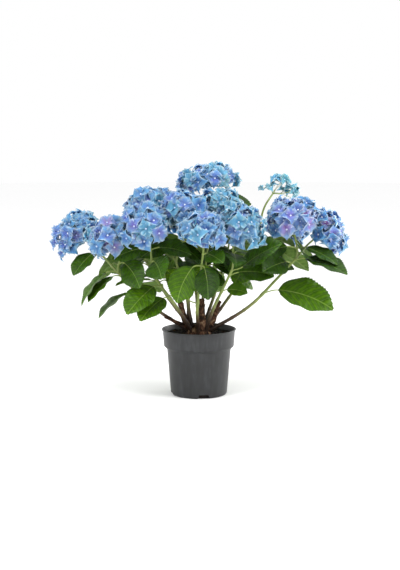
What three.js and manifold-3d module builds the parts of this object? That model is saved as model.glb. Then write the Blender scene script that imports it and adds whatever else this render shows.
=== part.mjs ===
// A mophead hydrangea in full bloom in its 19 cm plastic nursery pot.
//
// Millimetres, +Z up. The origin is the centre of the pot's flat underside, +X is to the right of the
// plant's show side and -Y is towards the viewer. A short woody stock stands on the soil and carries old
// pruned stubs. From it bare boughs lean out to where their foliage begins. Each foliage node is one green
// stem that may fork, with leaves in opposite pairs, and each bloom is a domed head of four-petalled
// florets on stalks, seated on the tip of a shoot.

import * as THREE from "three";
import { mergeGeometries, mergeVertices } from "three/addons/utils/BufferGeometryUtils.js";
import Module from "manifold-3d";

const wasm = await Module();
wasm.setup();

const seat = 0.3; // clear gap between pieces that meet
const cleanUp = 0.03; // slivers finer than this are smoothed away
const weld = 1e-4; // corners nearer than this are one corner

// The pot: a thin moulded shell with a deep rim band and four drain notches in its foot.
const pot = {
  height: 171,
  rimRadius: 96.3,
  lipHeight: 3,
  lipStandsOut: 2.4,
  bandFootRadius: 90.8,
  bandFootZ: 127,
  bodyTopRadius: 82.7,
  bodyTopZ: 119,
  bodyFootRadius: 73,
  footEdge: 5,
  wall: 1.5,
  floor: 2.4,
  floorFillet: 2,
  sides: 36,
  notches: 4,
  notchTurn: -80,
  notchFootWidth: 32,
  notchTopWidth: 24,
  notchHeight: 10,
  notchDepth: 16,
  notchClearance: 3,
};

// The soil fills the pot to a little under its rim.
const soil = { top: 157, gap: 0.3, slack: 1, edgeFall: 2, edgeWidth: 8, sides: 24 };

// The woody stock on the soil: a knuckled mound, given as [share of its height, share of its radius].
const stock = {
  radius: 31,
  height: 24,
  sides: 9,
  levels: [
    [0, 1],
    [0.45, 0.88],
    [0.8, 0.62],
    [1, 0.3],
  ],
  knuckle: 0.16,
};

// Its pruned stubs: turn, foot distance, tip distance, tip height and radius.
const stubFootShare = 0.35;
const stubRise = 50;
const stubSwell = 0.2;
const stubTaper = 0.86;
const stubs = [
  { turn: 188, foot: 22, tip: 50, height: 243, radius: 7 },
  { turn: 160, foot: 16, tip: 31, height: 246, radius: 4 },
  { turn: -8, foot: 20, tip: 52, height: 244, radius: 7.5 },
  { turn: 197, foot: 22, tip: 92, height: 206, radius: 3.2 },
  { turn: 75, foot: 18, tip: 44, height: 228, radius: 5 },
  { turn: 290, foot: 16, tip: 20, height: 250, radius: 7.5 },
];

// Limbs taper from the stock to the blooms; sides and steps are those of their skins.
const limbs = {
  footRadius: 5.2,
  tipRadius: 3.7,
  forkRadius: 2.9,
  shootRadius: 2.7,
  shootTipRadius: 2.4,
  peduncleRadius: 2.2,
  footShare: 0.4,
  sides: 5,
  boughSteps: 6,
  stemSteps: 3,
  shootSteps: 4,
};

// Every stem and bloom has a seed of its own.
const seedStep = 17;
const shootStep = 5;
const shootSeed = 3;

// Leaves: a flat blade on a stalk, folded a little along its midrib and bent down towards its tip.
const leaf = {
  widthShare: 0.7,
  stalkShare: 0.27,
  stalkRadius: 1.7,
  thick: 1.7,
  fold: 0.16,
  bend: 26,
  stations: [0.2, 0.46, 0.76, 1],
  lean: 42,
  stalkRise: 22,
  stalkTaper: 0.8,
  mostAlong: 0.93,
  rootVolume: 90,
  touch: 12,
  secondHangs: 6,
  secondShare: 0.94,
  stray: 8,
  backFrom: 90,
  showSide: 1.3,
  showReach: 420,
};

// A head is a low dome with a small core inside; its stalk's foot lies under it.
const head = {
  coreShare: 0.3,
  youngCoreShare: 0.14,
  sink: 0.3,
  footShare: 0.75,
  footDrop: 8,
  spread: 108,
  youngSpread: 86,
};

// Florets: four pointed petals make a dished star on a slim stalk from one face of the head's core.
const floret = {
  radius: 24,
  notchShare: 0.64,
  cup: 0.12,
  stalkRadius: 1.4,
  under: 3.2,
  dish: 1.2,
  stagger: 5,
  stray: 0.16,
  tilt: 0.32,
  roll: 45,
  fits: [1, 0.92, 0.84],
  youngShare: 0.6,
  crowded: 0.001,
};

// Every bough: where its bare wood ends, where its green stem forks, and the shoots that carry blooms from
// that fork. Places are [x, y, z]. A pair of leaves is [share of the stem, turn of the first leaf, how far
// it hangs in degrees, blade length, twist], its second leaf opposite but for the twist. A single leaf is
// given the same way, but its last number is the roll of the blade about its own length.
const boughs = [
  {
    name: "left",
    rise: 34,
    foot: 26,
    tip: [-146, -34, 258],
    fork: [-206, -44, 322],
    leaves: [
      [0.18, 208, 38, 100, 18],
      [0.4, 60, 20, 100],
      [0.86, 218, 40, 94, 8],
    ],
    shoots: [
      {
        bloom: { name: "far_left", at: [-310, 4, 418], radius: 64, flat: 0.8, lean: 48, turn: 180 },
        leaves: [
          [0.06, 202, 50, 106, 16],
          [0.25, 80, 24, 104],
          [0.74, 218, 44, 78, -14],
          [0.66, 110, 30, 84],
        ],
      },
      {
        bloom: { name: "low_left", at: [-226, -94, 421], radius: 57, flat: 0.85, lean: 42, turn: 205 },
        leaves: [[0.4, 309, 34, 92]],
      },
    ],
  },
  {
    name: "left_front",
    rise: 55,
    foot: 24,
    tip: [-70, -56, 254],
    fork: [-112, -84, 316],
    leaves: [
      [0.06, 232, 28, 102],
      [0.16, 326, -44, 96],
      [0.6, 226, 38, 104],
      [0.86, 100, 6, 104],
    ],
    shoots: [
      {
        bloom: { name: "left_front", at: [-134, -136, 450], radius: 66, flat: 0.68, lean: 28, turn: 240 },
        leaves: [
          [0.42, 284, 20, 94],
          [0.42, 134, 16, 96],
        ],
        pairs: [[0.74, 10, 14, 84]],
      },
    ],
  },
  {
    name: "centre_left",
    rise: 70,
    foot: 14,
    tip: [-34, -6, 262],
    fork: [-58, -22, 345],
    pairs: [[0.75, 120, 22, 100, 26]],
    shoots: [
      {
        bloom: { name: "left_back", at: [-130, 2, 491], radius: 65, flat: 0.62, lean: 20, turn: 170 },
        pairs: [
          [0.4, 174, 28, 95, 16],
          [0.75, 100, 18, 84, -8],
        ],
      },
      {
        bloom: { name: "centre_left", at: [-36, -98, 488], radius: 57, flat: 0.72, lean: 24, turn: 265 },
        pairs: [[0.5, 199, 24, 90, 34]],
      },
    ],
  },
  {
    name: "centre",
    rise: 82,
    foot: 4,
    tip: [12, 12, 270],
    fork: [20, 4, 370],
    pairs: [[0.6, 40, 20, 96, -50]],
    shoots: [
      {
        bloom: { name: "top", at: [22, 32, 555], radius: 72, flat: 0.52, lean: 10, turn: 180 },
        pairs: [
          [0.4, 95, 16, 92],
          [0.74, 5, -4, 84],
        ],
      },
      {
        bloom: { name: "middle", at: [55, -60, 492], radius: 56, flat: 0.7, lean: 16, turn: 300 },
        pairs: [[0.55, 20, 16, 80, 66]],
      },
    ],
  },
  {
    name: "front",
    rise: 74,
    foot: 24,
    tip: [-4, -62, 236],
    fork: [4, -112, 330],
    leaves: [[0.1, 158, -52, 96]],
    shoots: [
      {
        bloom: { name: "front", at: [13, -188, 447], radius: 56, flat: 0.66, lean: 26, turn: 272 },
        leaves: [
          [0.26, 212, 58, 98],
          [0.26, 290, 62, 84],
          [0.62, 300, 16, 70],
        ],
      },
    ],
  },
  {
    name: "right_front",
    rise: 68,
    foot: 24,
    tip: [46, -46, 250],
    fork: [84, -86, 336],
    leaves: [
      [0.3, 345, 4, 56],
      [0.8, 354, 2, 92],
      [0.95, 332, -28, 120],
    ],
    shoots: [
      {
        bloom: { name: "right_front", at: [104, -140, 448], radius: 57, flat: 0.84, lean: 35, turn: 305 },
        pairs: [[0.5, 70, 10, 84, 26]],
      },
    ],
  },
  {
    name: "right",
    rise: 30,
    foot: 26,
    tip: [158, -34, 261],
    fork: [248, -44, 360],
    leaves: [
      [0.06, 353, 15, 151],
      [0.6, 120, 4, 100],
      [0.86, 232, 14, 92],
      [0.93, 335, 17, 120],
    ],
    shoots: [
      {
        bloom: { name: "right_inner", at: [233, -62, 462], radius: 66, flat: 0.72, lean: 18, turn: 230 },
        pairs: [[0.42, 190, 20, 100, -40]],
      },
      {
        bloom: { name: "right_outer", at: [318, -14, 426], radius: 60, flat: 0.8, lean: 48, turn: 355 },
        leaves: [
          [0.3, 275, 5, 78],
          [0.5, 80, 22, 96],
        ],
      },
    ],
  },
  {
    name: "right_back",
    rise: 52,
    foot: 25,
    tip: [92, 66, 262],
    fork: [148, 96, 340],
    pairs: [
      [0.62, 348, 2, 100, -32],
      [0.85, 60, 20, 110, 8],
    ],
    shoots: [
      {
        bloom: { name: "young", at: [200, 84, 524], radius: 50, flat: 0.72, lean: 34, turn: 0, young: true },
        pairs: [
          [0.35, 200, 15, 96],
          [0.64, 196, -28, 84, -24],
        ],
      },
      {
        bloom: { name: "back_far_right", at: [232, 160, 424], radius: 55, flat: 0.8, lean: 44, turn: 35 },
        pairs: [
          [0.4, 0, 32, 108, -24],
          [0.75, 90, 28, 90],
        ],
      },
    ],
  },
  {
    name: "left_back",
    rise: 50,
    foot: 25,
    tip: [-92, 70, 258],
    fork: [-138, 110, 330],
    leaves: [
      [0.3, 210, 6, 98],
      [0.3, 46, 20, 92],
    ],
    pairs: [[0.85, 130, 20, 110, 46]],
    shoots: [
      {
        bloom: { name: "back_left", at: [-146, 152, 444], radius: 59, flat: 0.78, lean: 30, turn: 130 },
        pairs: [
          [0.4, 170, 26, 98],
          [0.76, 80, 22, 88],
        ],
      },
      {
        bloom: { name: "back_low_left", at: [-228, 158, 394], radius: 50, flat: 0.85, lean: 48, turn: 150 },
        pairs: [[0.45, 200, 38, 100]],
      },
    ],
  },
  {
    name: "back",
    rise: 60,
    foot: 26,
    tip: [-8, 92, 256],
    fork: [-18, 142, 330],
    leaves: [
      [0.35, 60, 28, 116],
      [0.35, 266, 2, 101],
      [0.9, 150, 28, 112],
      [0.9, 300, 32, 105],
    ],
    shoots: [
      {
        bloom: { name: "back", at: [-22, 238, 434], radius: 61, flat: 0.78, lean: 44, turn: 92 },
        pairs: [
          [0.3, 70, 24, 108, 34],
          [0.68, 168, 26, 96, -8],
        ],
      },
    ],
  },
  {
    name: "back_right",
    rise: 62,
    foot: 14,
    tip: [44, 52, 262],
    fork: [72, 98, 342],
    leaves: [
      [0.5, 36, 32, 92],
      [0.5, 256, 14, 86],
    ],
    shoots: [
      {
        bloom: { name: "back_right", at: [100, 186, 442], radius: 57, flat: 0.76, lean: 34, turn: 60 },
        pairs: [
          [0.35, 100, 28, 108, -8],
          [0.7, 10, 24, 92, 38],
        ],
      },
    ],
  },
];

const colours = {
  pot: [0x5c5d60, 0.5],
  soil: [0x1c1511, 0.95],
  wood: [0x5a4630, 0.85],
  stem: [0x8d9660, 0.6],
  leaf: [0x35521f, 0.5],
  bloom: [0x7397c6, 0.7],
};

const radians = THREE.MathUtils.degToRad;
const up = new THREE.Vector3(0, 0, 1);

// A vector of some length towards a turn in plan, raised above level.
function towards(turn, raised = 0, length = 1) {
  const flat = Math.cos(radians(raised)) * length;
  return new THREE.Vector3(
    Math.cos(radians(turn)) * flat,
    Math.sin(radians(turn)) * flat,
    Math.sin(radians(raised)) * length,
  );
}

// A steady number from 0 to 1 for a seed and a count, so that the plant grows alike each time.
function chance(seed, count) {
  const wave = Math.sin(seed * 12.9898 + count * 78.233) * 43758.5453;
  return wave - Math.floor(wave);
}

function solidOf(geometry) {
  const bare = new THREE.BufferGeometry();
  bare.setAttribute("position", geometry.getAttribute("position"));
  bare.setIndex(geometry.index);
  const merged = mergeVertices(bare, weld);
  return new wasm.Manifold(
    new wasm.Mesh({
      numProp: 3,
      vertProperties: merged.attributes.position.array,
      triVerts: new Uint32Array(merged.index.array),
    }),
  );
}

// A closed skin through rings of points, each turning anticlockwise about the way the rings run. Rings
// may differ in count, and a ring of one point is a tip.
function loft(rings, closedFoot = true) {
  const positions = rings.flat().flatMap((p) => [p.x, p.y, p.z]);
  const starts = [];
  rings.reduce((total, ring) => (starts.push(total), total + ring.length), 0);
  const faces = [];
  for (let k = 0; k + 1 < rings.length; k++) {
    const n = rings[k].length;
    const m = rings[k + 1].length;
    const a = (i) => starts[k] + (i % n);
    const b = (j) => starts[k + 1] + (j % m);
    const stepsA = n > 1 ? n : 0;
    const stepsB = m > 1 ? m : 0;
    let i = 0;
    let j = 0;
    while (i < stepsA || j < stepsB) {
      const alongA = j >= stepsB || (i < stepsA && (i + 1) / n <= (j + 1) / m);
      faces.push(...(alongA ? [a(i), a(i + 1), b(j)] : [a(i), b(j + 1), b(j)]));
      if (alongA) i++;
      else j++;
    }
  }
  const last = starts.length - 1;
  if (last === 0) closedFoot = false;
  for (let i = 1; closedFoot && i + 1 < rings[0].length; i++) faces.push(0, i + 1, i);
  for (let i = 1; i + 1 < rings[last].length; i++) {
    faces.push(starts[last], starts[last] + i, starts[last] + i + 1);
  }
  const geometry = new THREE.BufferGeometry();
  geometry.setAttribute("position", new THREE.Float32BufferAttribute(positions, 3));
  geometry.setIndex(faces);
  return geometry;
}

// A round ring of points about a centre, square to an axis, counted from a side direction.
function ring(centre, axis, side, radius, sides, turn = 0) {
  const u = side.clone().addScaledVector(axis, -side.dot(axis)).normalize();
  const v = new THREE.Vector3().crossVectors(axis, u);
  return Array.from({ length: sides }, (_, i) => {
    const angle = turn + (i / sides) * 2 * Math.PI;
    return centre
      .clone()
      .addScaledVector(u, Math.cos(angle) * radius)
      .addScaledVector(v, Math.sin(angle) * radius);
  });
}

// One tapering limb along a curve.
function limb(curve, fromRadius, toRadius, sides, steps) {
  const frames = curve.computeFrenetFrames(steps, false);
  const rings = frames.tangents.map((_, k) => {
    const centre = curve.getPointAt(k / steps);
    const radius = fromRadius + ((toRadius - fromRadius) * k) / steps;
    return Array.from({ length: sides }, (_, i) => {
      const angle = (i / sides) * 2 * Math.PI;
      return centre
        .clone()
        .addScaledVector(frames.normals[k], Math.cos(angle) * radius)
        .addScaledVector(frames.binormals[k], Math.sin(angle) * radius);
    });
  });
  return solidOf(loft(rings));
}

// A smooth curve that leaves one place in a direction and arrives at another in a second direction.
function sweep(from, leaving, to, arriving) {
  const reach = from.distanceTo(to) / 3;
  return new THREE.CubicBezierCurve3(
    from,
    from.clone().addScaledVector(leaving, reach),
    to.clone().addScaledVector(arriving, -reach),
    to,
  );
}

function makePot() {
  const p = pot;
  const profile = [
    [0, 0],
    [p.bodyFootRadius - p.footEdge, 0],
    [p.bodyFootRadius - p.footEdge / 4, p.footEdge / 3],
    [p.bodyFootRadius, p.footEdge],
    [p.bodyTopRadius, p.bodyTopZ],
    [p.bandFootRadius, p.bandFootZ],
    [p.rimRadius - p.lipStandsOut, p.height - p.lipHeight - 1],
    [p.rimRadius, p.height - p.lipHeight],
    [p.rimRadius, p.height],
    [p.rimRadius - p.lipStandsOut - p.wall, p.height],
    [p.bandFootRadius - p.wall, p.bandFootZ + p.wall / 2],
    [p.bodyTopRadius - p.wall, p.bodyTopZ + p.wall / 2],
    [p.bodyFootRadius - p.wall, p.footEdge],
    [p.bodyFootRadius - p.wall - p.floorFillet, p.floor],
    [0, p.floor],
  ].map(([r, z]) => new THREE.Vector2(r, z));
  const lathe = new THREE.LatheGeometry(profile, p.sides);
  lathe.rotateX(Math.PI / 2);
  let shell = solidOf(lathe);
  const face = new THREE.Shape([
    new THREE.Vector2(-p.notchFootWidth / 2, -p.notchClearance),
    new THREE.Vector2(p.notchFootWidth / 2, -p.notchClearance),
    new THREE.Vector2(p.notchTopWidth / 2, p.notchHeight),
    new THREE.Vector2(-p.notchTopWidth / 2, p.notchHeight),
  ]);
  for (let i = 0; i < p.notches; i++) {
    const block = new THREE.ExtrudeGeometry(face, { depth: p.notchDepth, bevelEnabled: false });
    block.translate(0, 0, p.bodyFootRadius + p.notchClearance - p.notchDepth);
    block.rotateX(Math.PI / 2);
    block.rotateZ(radians(p.notchTurn + 90 + (i * 360) / p.notches));
    const plain = new THREE.BufferGeometry();
    plain.setAttribute("position", block.getAttribute("position"));
    plain.setIndex([...Array(plain.attributes.position.count).keys()]);
    shell = shell.subtract(solidOf(plain));
  }
  return shell;
}

function makeSoil() {
  const p = pot;
  const inside = p.wall + soil.gap + soil.slack;
  const bandSlope =
    (p.rimRadius - p.lipStandsOut - p.bandFootRadius) / (p.height - p.lipHeight - p.bandFootZ);
  const topRadius = p.bandFootRadius + bandSlope * (soil.top - p.bandFootZ) - inside;
  const profile = [
    [0, p.floor + soil.gap],
    [p.bodyFootRadius - inside - p.floorFillet, p.floor + soil.gap],
    [p.bodyFootRadius - inside, p.footEdge + soil.slack],
    [p.bodyTopRadius - inside, p.bodyTopZ + soil.slack],
    [p.bandFootRadius - inside, p.bandFootZ + 2 * soil.slack],
    [topRadius, soil.top - soil.edgeFall],
    [topRadius - soil.edgeWidth, soil.top],
    [0, soil.top],
  ].map(([r, z]) => new THREE.Vector2(r, z));
  const lathe = new THREE.LatheGeometry(profile, soil.sides);
  lathe.rotateX(Math.PI / 2);
  return solidOf(lathe);
}

// The stock is a knuckled mound with its stubs; grown a little, it cuts the boughs' feet to their seats.
function makeStock(grown) {
  const base = soil.top + seat;
  const rings = stock.levels.map(([share, width], k) =>
    Array.from({ length: stock.sides }, (_, i) => {
      const knuckle = 1 + stock.knuckle * (chance(stock.sides, i * stock.levels.length + k) - 0.5);
      const radius = stock.radius * width * knuckle + grown;
      const z = base + stock.height * share + (k ? grown : 0);
      return towards((i * 360) / stock.sides, 0, radius).setZ(z);
    }),
  );
  let body = solidOf(loft(rings));
  for (const [i, stub] of stubs.entries()) {
    const foot = towards(stub.turn, 0, stub.foot).setZ(base + stock.height * stubFootShare);
    const tip = towards(stub.turn, 0, stub.tip).setZ(stub.height + grown);
    const curve = sweep(foot, towards(stub.turn, stubRise), tip, tip.clone().sub(foot).normalize());
    const footRadius = stub.radius * (1 + stubSwell * chance(stubs.length, i)) + grown;
    const tipRadius = stub.radius * stubTaper + grown;
    body = body.add(limb(curve, footRadius, tipRadius, limbs.sides + 1, limbs.stemSteps + 1));
  }
  return body;
}

// A leaf with its stalk, from inside the stem to the tip. Its sections are edge, top, edge, underside,
// and each takes its upper side over from the one before, so that the blade never twists.
function makeLeaf(spot) {
  const level = towards(spot.turn);
  const wayDown = (degrees) =>
    level
      .clone()
      .multiplyScalar(Math.cos(radians(degrees)))
      .setZ(-Math.sin(radians(degrees)));
  const stalkRise = leaf.stalkRise - Math.max(spot.hangs, 0) / 2;
  const stalkEnd = spot.at
    .clone()
    .addScaledVector(towards(spot.turn, stalkRise), spot.length * leaf.stalkShare);
  const lean = radians(leaf.lean);
  const facing = up
    .clone()
    .multiplyScalar(Math.cos(lean))
    .addScaledVector(spot.face, Math.sin(lean))
    .applyAxisAngle(wayDown(spot.hangs), spot.roll);
  let top = Math.abs(facing.dot(wayDown(spot.hangs))) < leaf.mostAlong ? facing : up.clone();
  const sectionAt = (centre, along, half, thick) => {
    top = top.clone().addScaledVector(along, -top.dot(along)).normalize();
    const side = new THREE.Vector3().crossVectors(top, along);
    const lift = half * leaf.fold;
    return [
      centre.clone().addScaledVector(side, half).addScaledVector(top, lift),
      centre.clone().addScaledVector(top, thick / 2),
      centre.clone().addScaledVector(side, -half).addScaledVector(top, lift),
      centre.clone().addScaledVector(top, -thick / 2),
    ];
  };
  const stalkRing = (centre, along, half) => {
    const [one, , other, under] = sectionAt(centre, along, half, half * 3);
    return [one, other, under];
  };
  const stalkWay = stalkEnd.clone().sub(spot.at).normalize();
  const rings = [
    stalkRing(spot.at, stalkWay, leaf.stalkRadius),
    stalkRing(stalkEnd, wayDown(spot.hangs), leaf.stalkRadius * leaf.stalkTaper),
  ];
  let centre = stalkEnd;
  let before = 0;
  for (const share of leaf.stations) {
    const along = wayDown(spot.hangs + leaf.bend * ((before + share) / 2 - 0.5));
    centre = centre.clone().addScaledVector(along, spot.length * (share - before));
    const half = (spot.length * leaf.widthShare * leafOutline(share)) / 2;
    rings.push(share < 1 ? sectionAt(centre, along, half, leaf.thick) : [centre]);
    before = share;
  }
  return solidOf(loft(rings));
}

// Half-width of a leaf along its length, as a share of its widest.
function leafOutline(share) {
  return Math.sin(Math.PI * share ** 0.94) ** (0.56 + 0.22 * share);
}

// The places of one stem's leaves, with the second of each pair facing the first.
function leafSpots(curve, { pairs = [], leaves = [] }, seed) {
  const facing = ([share, turn, hangs, length, twist = 0]) => [
    share,
    turn + 180 + twist,
    Math.abs(hangs) + leaf.secondHangs,
    length * leaf.secondShare,
  ];
  const grown = pairs.flatMap((first) => [first.slice(0, 4), facing(first)]);
  return [...leaves, ...grown].map(([share, turn, hangs, length, roll = 0], k) => {
    const at = curve.getPointAt(share);
    const stray = leaf.stray * (chance(seed, k) - 0.5);
    const outward = new THREE.Vector3(at.x, at.y, 0).normalize();
    const showing = leaf.showSide * Math.max(0, 1 - Math.abs(at.x) / leaf.showReach);
    const shown = at.y < leaf.backFrom ? -showing : 0;
    const face = outward.add(new THREE.Vector3(0, shown, 0)).normalize();
    return { at, turn: turn + stray, hangs, length, face, roll: radians(roll) };
  });
}

// The frame of a bloom: its axis, and where its stalk is seated on the shoot.
function bloomFrame(bloom) {
  const centre = new THREE.Vector3(...bloom.at);
  const axis = towards(bloom.turn, 90 - bloom.lean);
  const u = towards(bloom.turn, -bloom.lean);
  const v = new THREE.Vector3().crossVectors(axis, u);
  const depth = bloom.radius * bloom.flat;
  const foot = centre.clone().addScaledVector(axis, -depth * head.footShare - head.footDrop);
  return { centre, axis, u, v, depth, foot };
}

// The middle of a bloom's core lies a little inside its dome.
function bloomHeart(bloom) {
  const { centre, axis, depth } = bloomFrame(bloom);
  return centre.clone().addScaledVector(axis, -depth * head.sink);
}

// The corners of a head's core, three to a face; each face that looks out carries a floret.
function coreFaces(bloom) {
  const position = new THREE.IcosahedronGeometry(1, bloom.young ? 0 : 1).getAttribute("position");
  const faces = Array.from({ length: position.count / 3 }, (_, i) =>
    [0, 1, 2].map((k) => new THREE.Vector3().fromBufferAttribute(position, i * 3 + k)),
  );
  const height = (face) => face.reduce((sum, p) => sum + p.z, 0);
  return faces.sort((one, other) => height(other) - height(one));
}

// The rings of one floret: a face of the core, the slim top of its stalk, the petals' rim, its eye.
function floretRings(bloom, corners, size, seed) {
  const { centre, u, v, axis, depth } = bloomFrame(bloom);
  const middle = corners.reduce((sum, p) => sum.add(p), new THREE.Vector3()).divideScalar(3);
  const stray = (n) => chance(seed, n) - 0.5;
  const way = middle
    .clone()
    .sub(bloomHeart(bloom))
    .normalize()
    .addScaledVector(u, floret.stray * stray(1))
    .addScaledVector(v, floret.stray * stray(2))
    .normalize();
  const polar = way.dot(axis);
  const level = way.clone().addScaledVector(axis, -polar);
  const at = centre
    .clone()
    .addScaledVector(level, bloom.radius)
    .addScaledVector(axis, polar * depth)
    .addScaledVector(way, floret.stagger * 2 * stray(3));
  const normal = level
    .divideScalar(bloom.radius)
    .addScaledVector(axis, polar / depth)
    .normalize()
    .addScaledVector(u, floret.tilt * stray(4))
    .addScaledVector(v, floret.tilt * stray(5))
    .normalize();
  const radius = floret.radius * size;
  const across = corners[0].clone().sub(middle);
  const roll = radians(2 * floret.roll) * stray(6);
  const rim = ring(new THREE.Vector3(), normal, across, radius, 8, roll).map((p, i) =>
    p
      .multiplyScalar(i % 2 ? floret.notchShare : 1)
      .add(at)
      .addScaledVector(normal, i % 2 ? 0 : radius * floret.cup),
  );
  const under = at.clone().addScaledVector(normal, -floret.under);
  const stalk = under.clone().sub(middle).normalize();
  return [
    corners,
    ring(under, stalk, across, floret.stalkRadius, 3),
    rim,
    [at.clone().addScaledVector(normal, -floret.dish)],
  ];
}

// Each bloom keeps to its own cell of space, so that crowded heads never meet.
function keepsToCell(points, bloom, blooms) {
  const own = new THREE.Vector3(...bloom.at);
  return blooms.every((other) => {
    if (other === bloom) return true;
    const its = new THREE.Vector3(...other.at);
    const apart = 2 * own.distanceTo(its);
    return points.every((p) => {
      const toOwn = p.distanceToSquared(own) - bloom.radius ** 2;
      const toIts = p.distanceToSquared(its) - other.radius ** 2;
      return (toIts - toOwn) / apart > seat;
    });
  });
}

const made = new Map();

// True if a solid stays clear of every node but its own.
function clearOf(solid, ownName) {
  const a = solid.boundingBox();
  for (const [name, other] of made) {
    if (name === ownName) continue;
    const b = other.boundingBox();
    const meets = [0, 1, 2].every((k) => a.min[k] < b.max[k] + seat && b.min[k] < a.max[k] + seat);
    if (meets && solid.minGap(other, seat) < seat) return false;
  }
  return true;
}

// A head: its core with a floret grown out of each face that looks outwards, and its stalk.
function makeBloom(bloom, k) {
  const { axis, u, v, foot } = bloomFrame(bloom);
  const heart = bloomHeart(bloom);
  const coreRadius = bloom.radius * (bloom.young ? head.youngCoreShare : head.coreShare);
  const lowest = Math.cos(radians(bloom.young ? head.youngSpread : head.spread));
  const placed = [];
  const skins = coreFaces(bloom).map((face, i) => {
    const corners = face.map((p) =>
      heart
        .clone()
        .addScaledVector(u, p.x * coreRadius)
        .addScaledVector(v, p.y * coreRadius)
        .addScaledVector(axis, p.z * coreRadius),
    );
    if ((face[0].z + face[1].z + face[2].z) / 3 < lowest) return loft([corners]);
    for (const fit of floret.fits) {
      const size = fit * (bloom.young ? floret.youngShare : 1);
      const rings = floretRings(bloom, corners, size, k * seedStep + i);
      if (!keepsToCell(rings.slice(1).flat(), bloom, blooms)) continue;
      const solid = solidOf(loft(rings));
      const crowded = placed.some((other) => other.intersect(solid).volume() > floret.crowded);
      if (crowded || !clearOf(solid, "bloom_" + bloom.name)) continue;
      placed.push(solid);
      return loft(rings, false);
    }
    return loft([corners]);
  });
  const stalk = sweep(foot, axis, heart, axis);
  const peduncle = limb(stalk, limbs.shootTipRadius, limbs.peduncleRadius, limbs.sides, 1);
  return solidOf(mergeGeometries(skins)).add(peduncle);
}

made.set("pot", makePot());
made.set("soil", makeSoil());
made.set("stock", makeStock(0));
const footCutter = makeStock(seat);

// Bare boughs first, then every green stem, then the blooms, then the leaves that fit between them.
const green = [];
for (const [k, bough] of boughs.entries()) {
  const tip = new THREE.Vector3(...bough.tip);
  const fork = new THREE.Vector3(...bough.fork);
  const turn = THREE.MathUtils.radToDeg(Math.atan2(tip.y, tip.x));
  const foot = towards(turn, 0, bough.foot).setZ(soil.top + stock.height * limbs.footShare);
  const onward = fork.clone().sub(tip).normalize();
  const wood = sweep(foot, towards(turn, bough.rise), tip, onward);
  const bare = limb(wood, limbs.footRadius, limbs.tipRadius, limbs.sides, limbs.boughSteps);
  made.set("bough_" + bough.name, bare.subtract(footCutter));
  const start = tip.clone().addScaledVector(onward, seat);
  const stem = sweep(start, onward, fork, onward);
  let body = limb(stem, limbs.tipRadius, limbs.forkRadius, limbs.sides, limbs.stemSteps);
  const spots = leafSpots(stem, bough, k * seedStep);
  bough.shoots.forEach((shoot, n) => {
    const { axis, foot: end } = bloomFrame(shoot.bloom);
    const last = end.clone().addScaledVector(axis, -seat);
    const way = last.clone().sub(fork).normalize();
    const from = fork.clone().addScaledVector(onward, -limbs.shootTipRadius);
    const curve = sweep(from, onward.clone().add(way).normalize(), last, axis);
    const { shootRadius, shootTipRadius, sides, shootSteps } = limbs;
    body = body.add(limb(curve, shootRadius, shootTipRadius, sides, shootSteps));
    spots.push(...leafSpots(curve, shoot, k * seedStep + n * shootStep + shootSeed));
  });
  made.set("foliage_" + bough.name, body);
  green.push([bough.name, spots]);
}

const blooms = boughs.flatMap((bough) => bough.shoots.map((shoot) => shoot.bloom));
for (const [k, bloom] of blooms.entries()) made.set("bloom_" + bloom.name, makeBloom(bloom, k));

for (const [name, spots] of green) {
  const node = "foliage_" + name;
  const stems = made.get(node);
  const placed = [];
  const free = (solid) =>
    stems.intersect(solid).volume() < leaf.rootVolume &&
    placed.every((other) => other.intersect(solid).volume() < leaf.touch) &&
    clearOf(solid, node);
  for (const spot of spots) {
    const solid = makeLeaf(spot);
    if (free(solid)) placed.push(solid);
  }
  made.set(node, wasm.Manifold.union([stems, ...placed]));
}

function meshOf(name, solid) {
  const { numProp, vertProperties, triVerts } = solid.simplify(cleanUp).getMesh();
  const positions = new Float32Array((vertProperties.length / numProp) * 3);
  for (let i = 0; i < positions.length / 3; i++) {
    positions.set(vertProperties.subarray(i * numProp, i * numProp + 3), i * 3);
  }
  const geometry = new THREE.BufferGeometry();
  geometry.setAttribute("position", new THREE.BufferAttribute(positions, 3));
  geometry.setIndex(new THREE.BufferAttribute(triVerts, 1));
  geometry.computeVertexNormals();
  const kind = name.split("_")[0];
  const look = { bough: "wood", stock: "wood", foliage: "leaf" }[kind] ?? kind;
  const [color, roughness] = colours[look];
  const mesh = new THREE.Mesh(
    geometry,
    new THREE.MeshStandardMaterial({ color, roughness, metalness: 0 }),
  );
  mesh.name = name;
  return mesh;
}

const plant = new THREE.Group();
for (const [name, solid] of made) plant.add(meshOf(name, solid));

export default plant;
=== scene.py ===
from collections import namedtuple
from functools import partial
from math import atan2, cos, degrees, exp, pi, radians, sin, sqrt, tau

import bmesh
import bpy
import numpy as np
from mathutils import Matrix, Vector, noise
from mathutils.bvhtree import BVHTree


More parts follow.
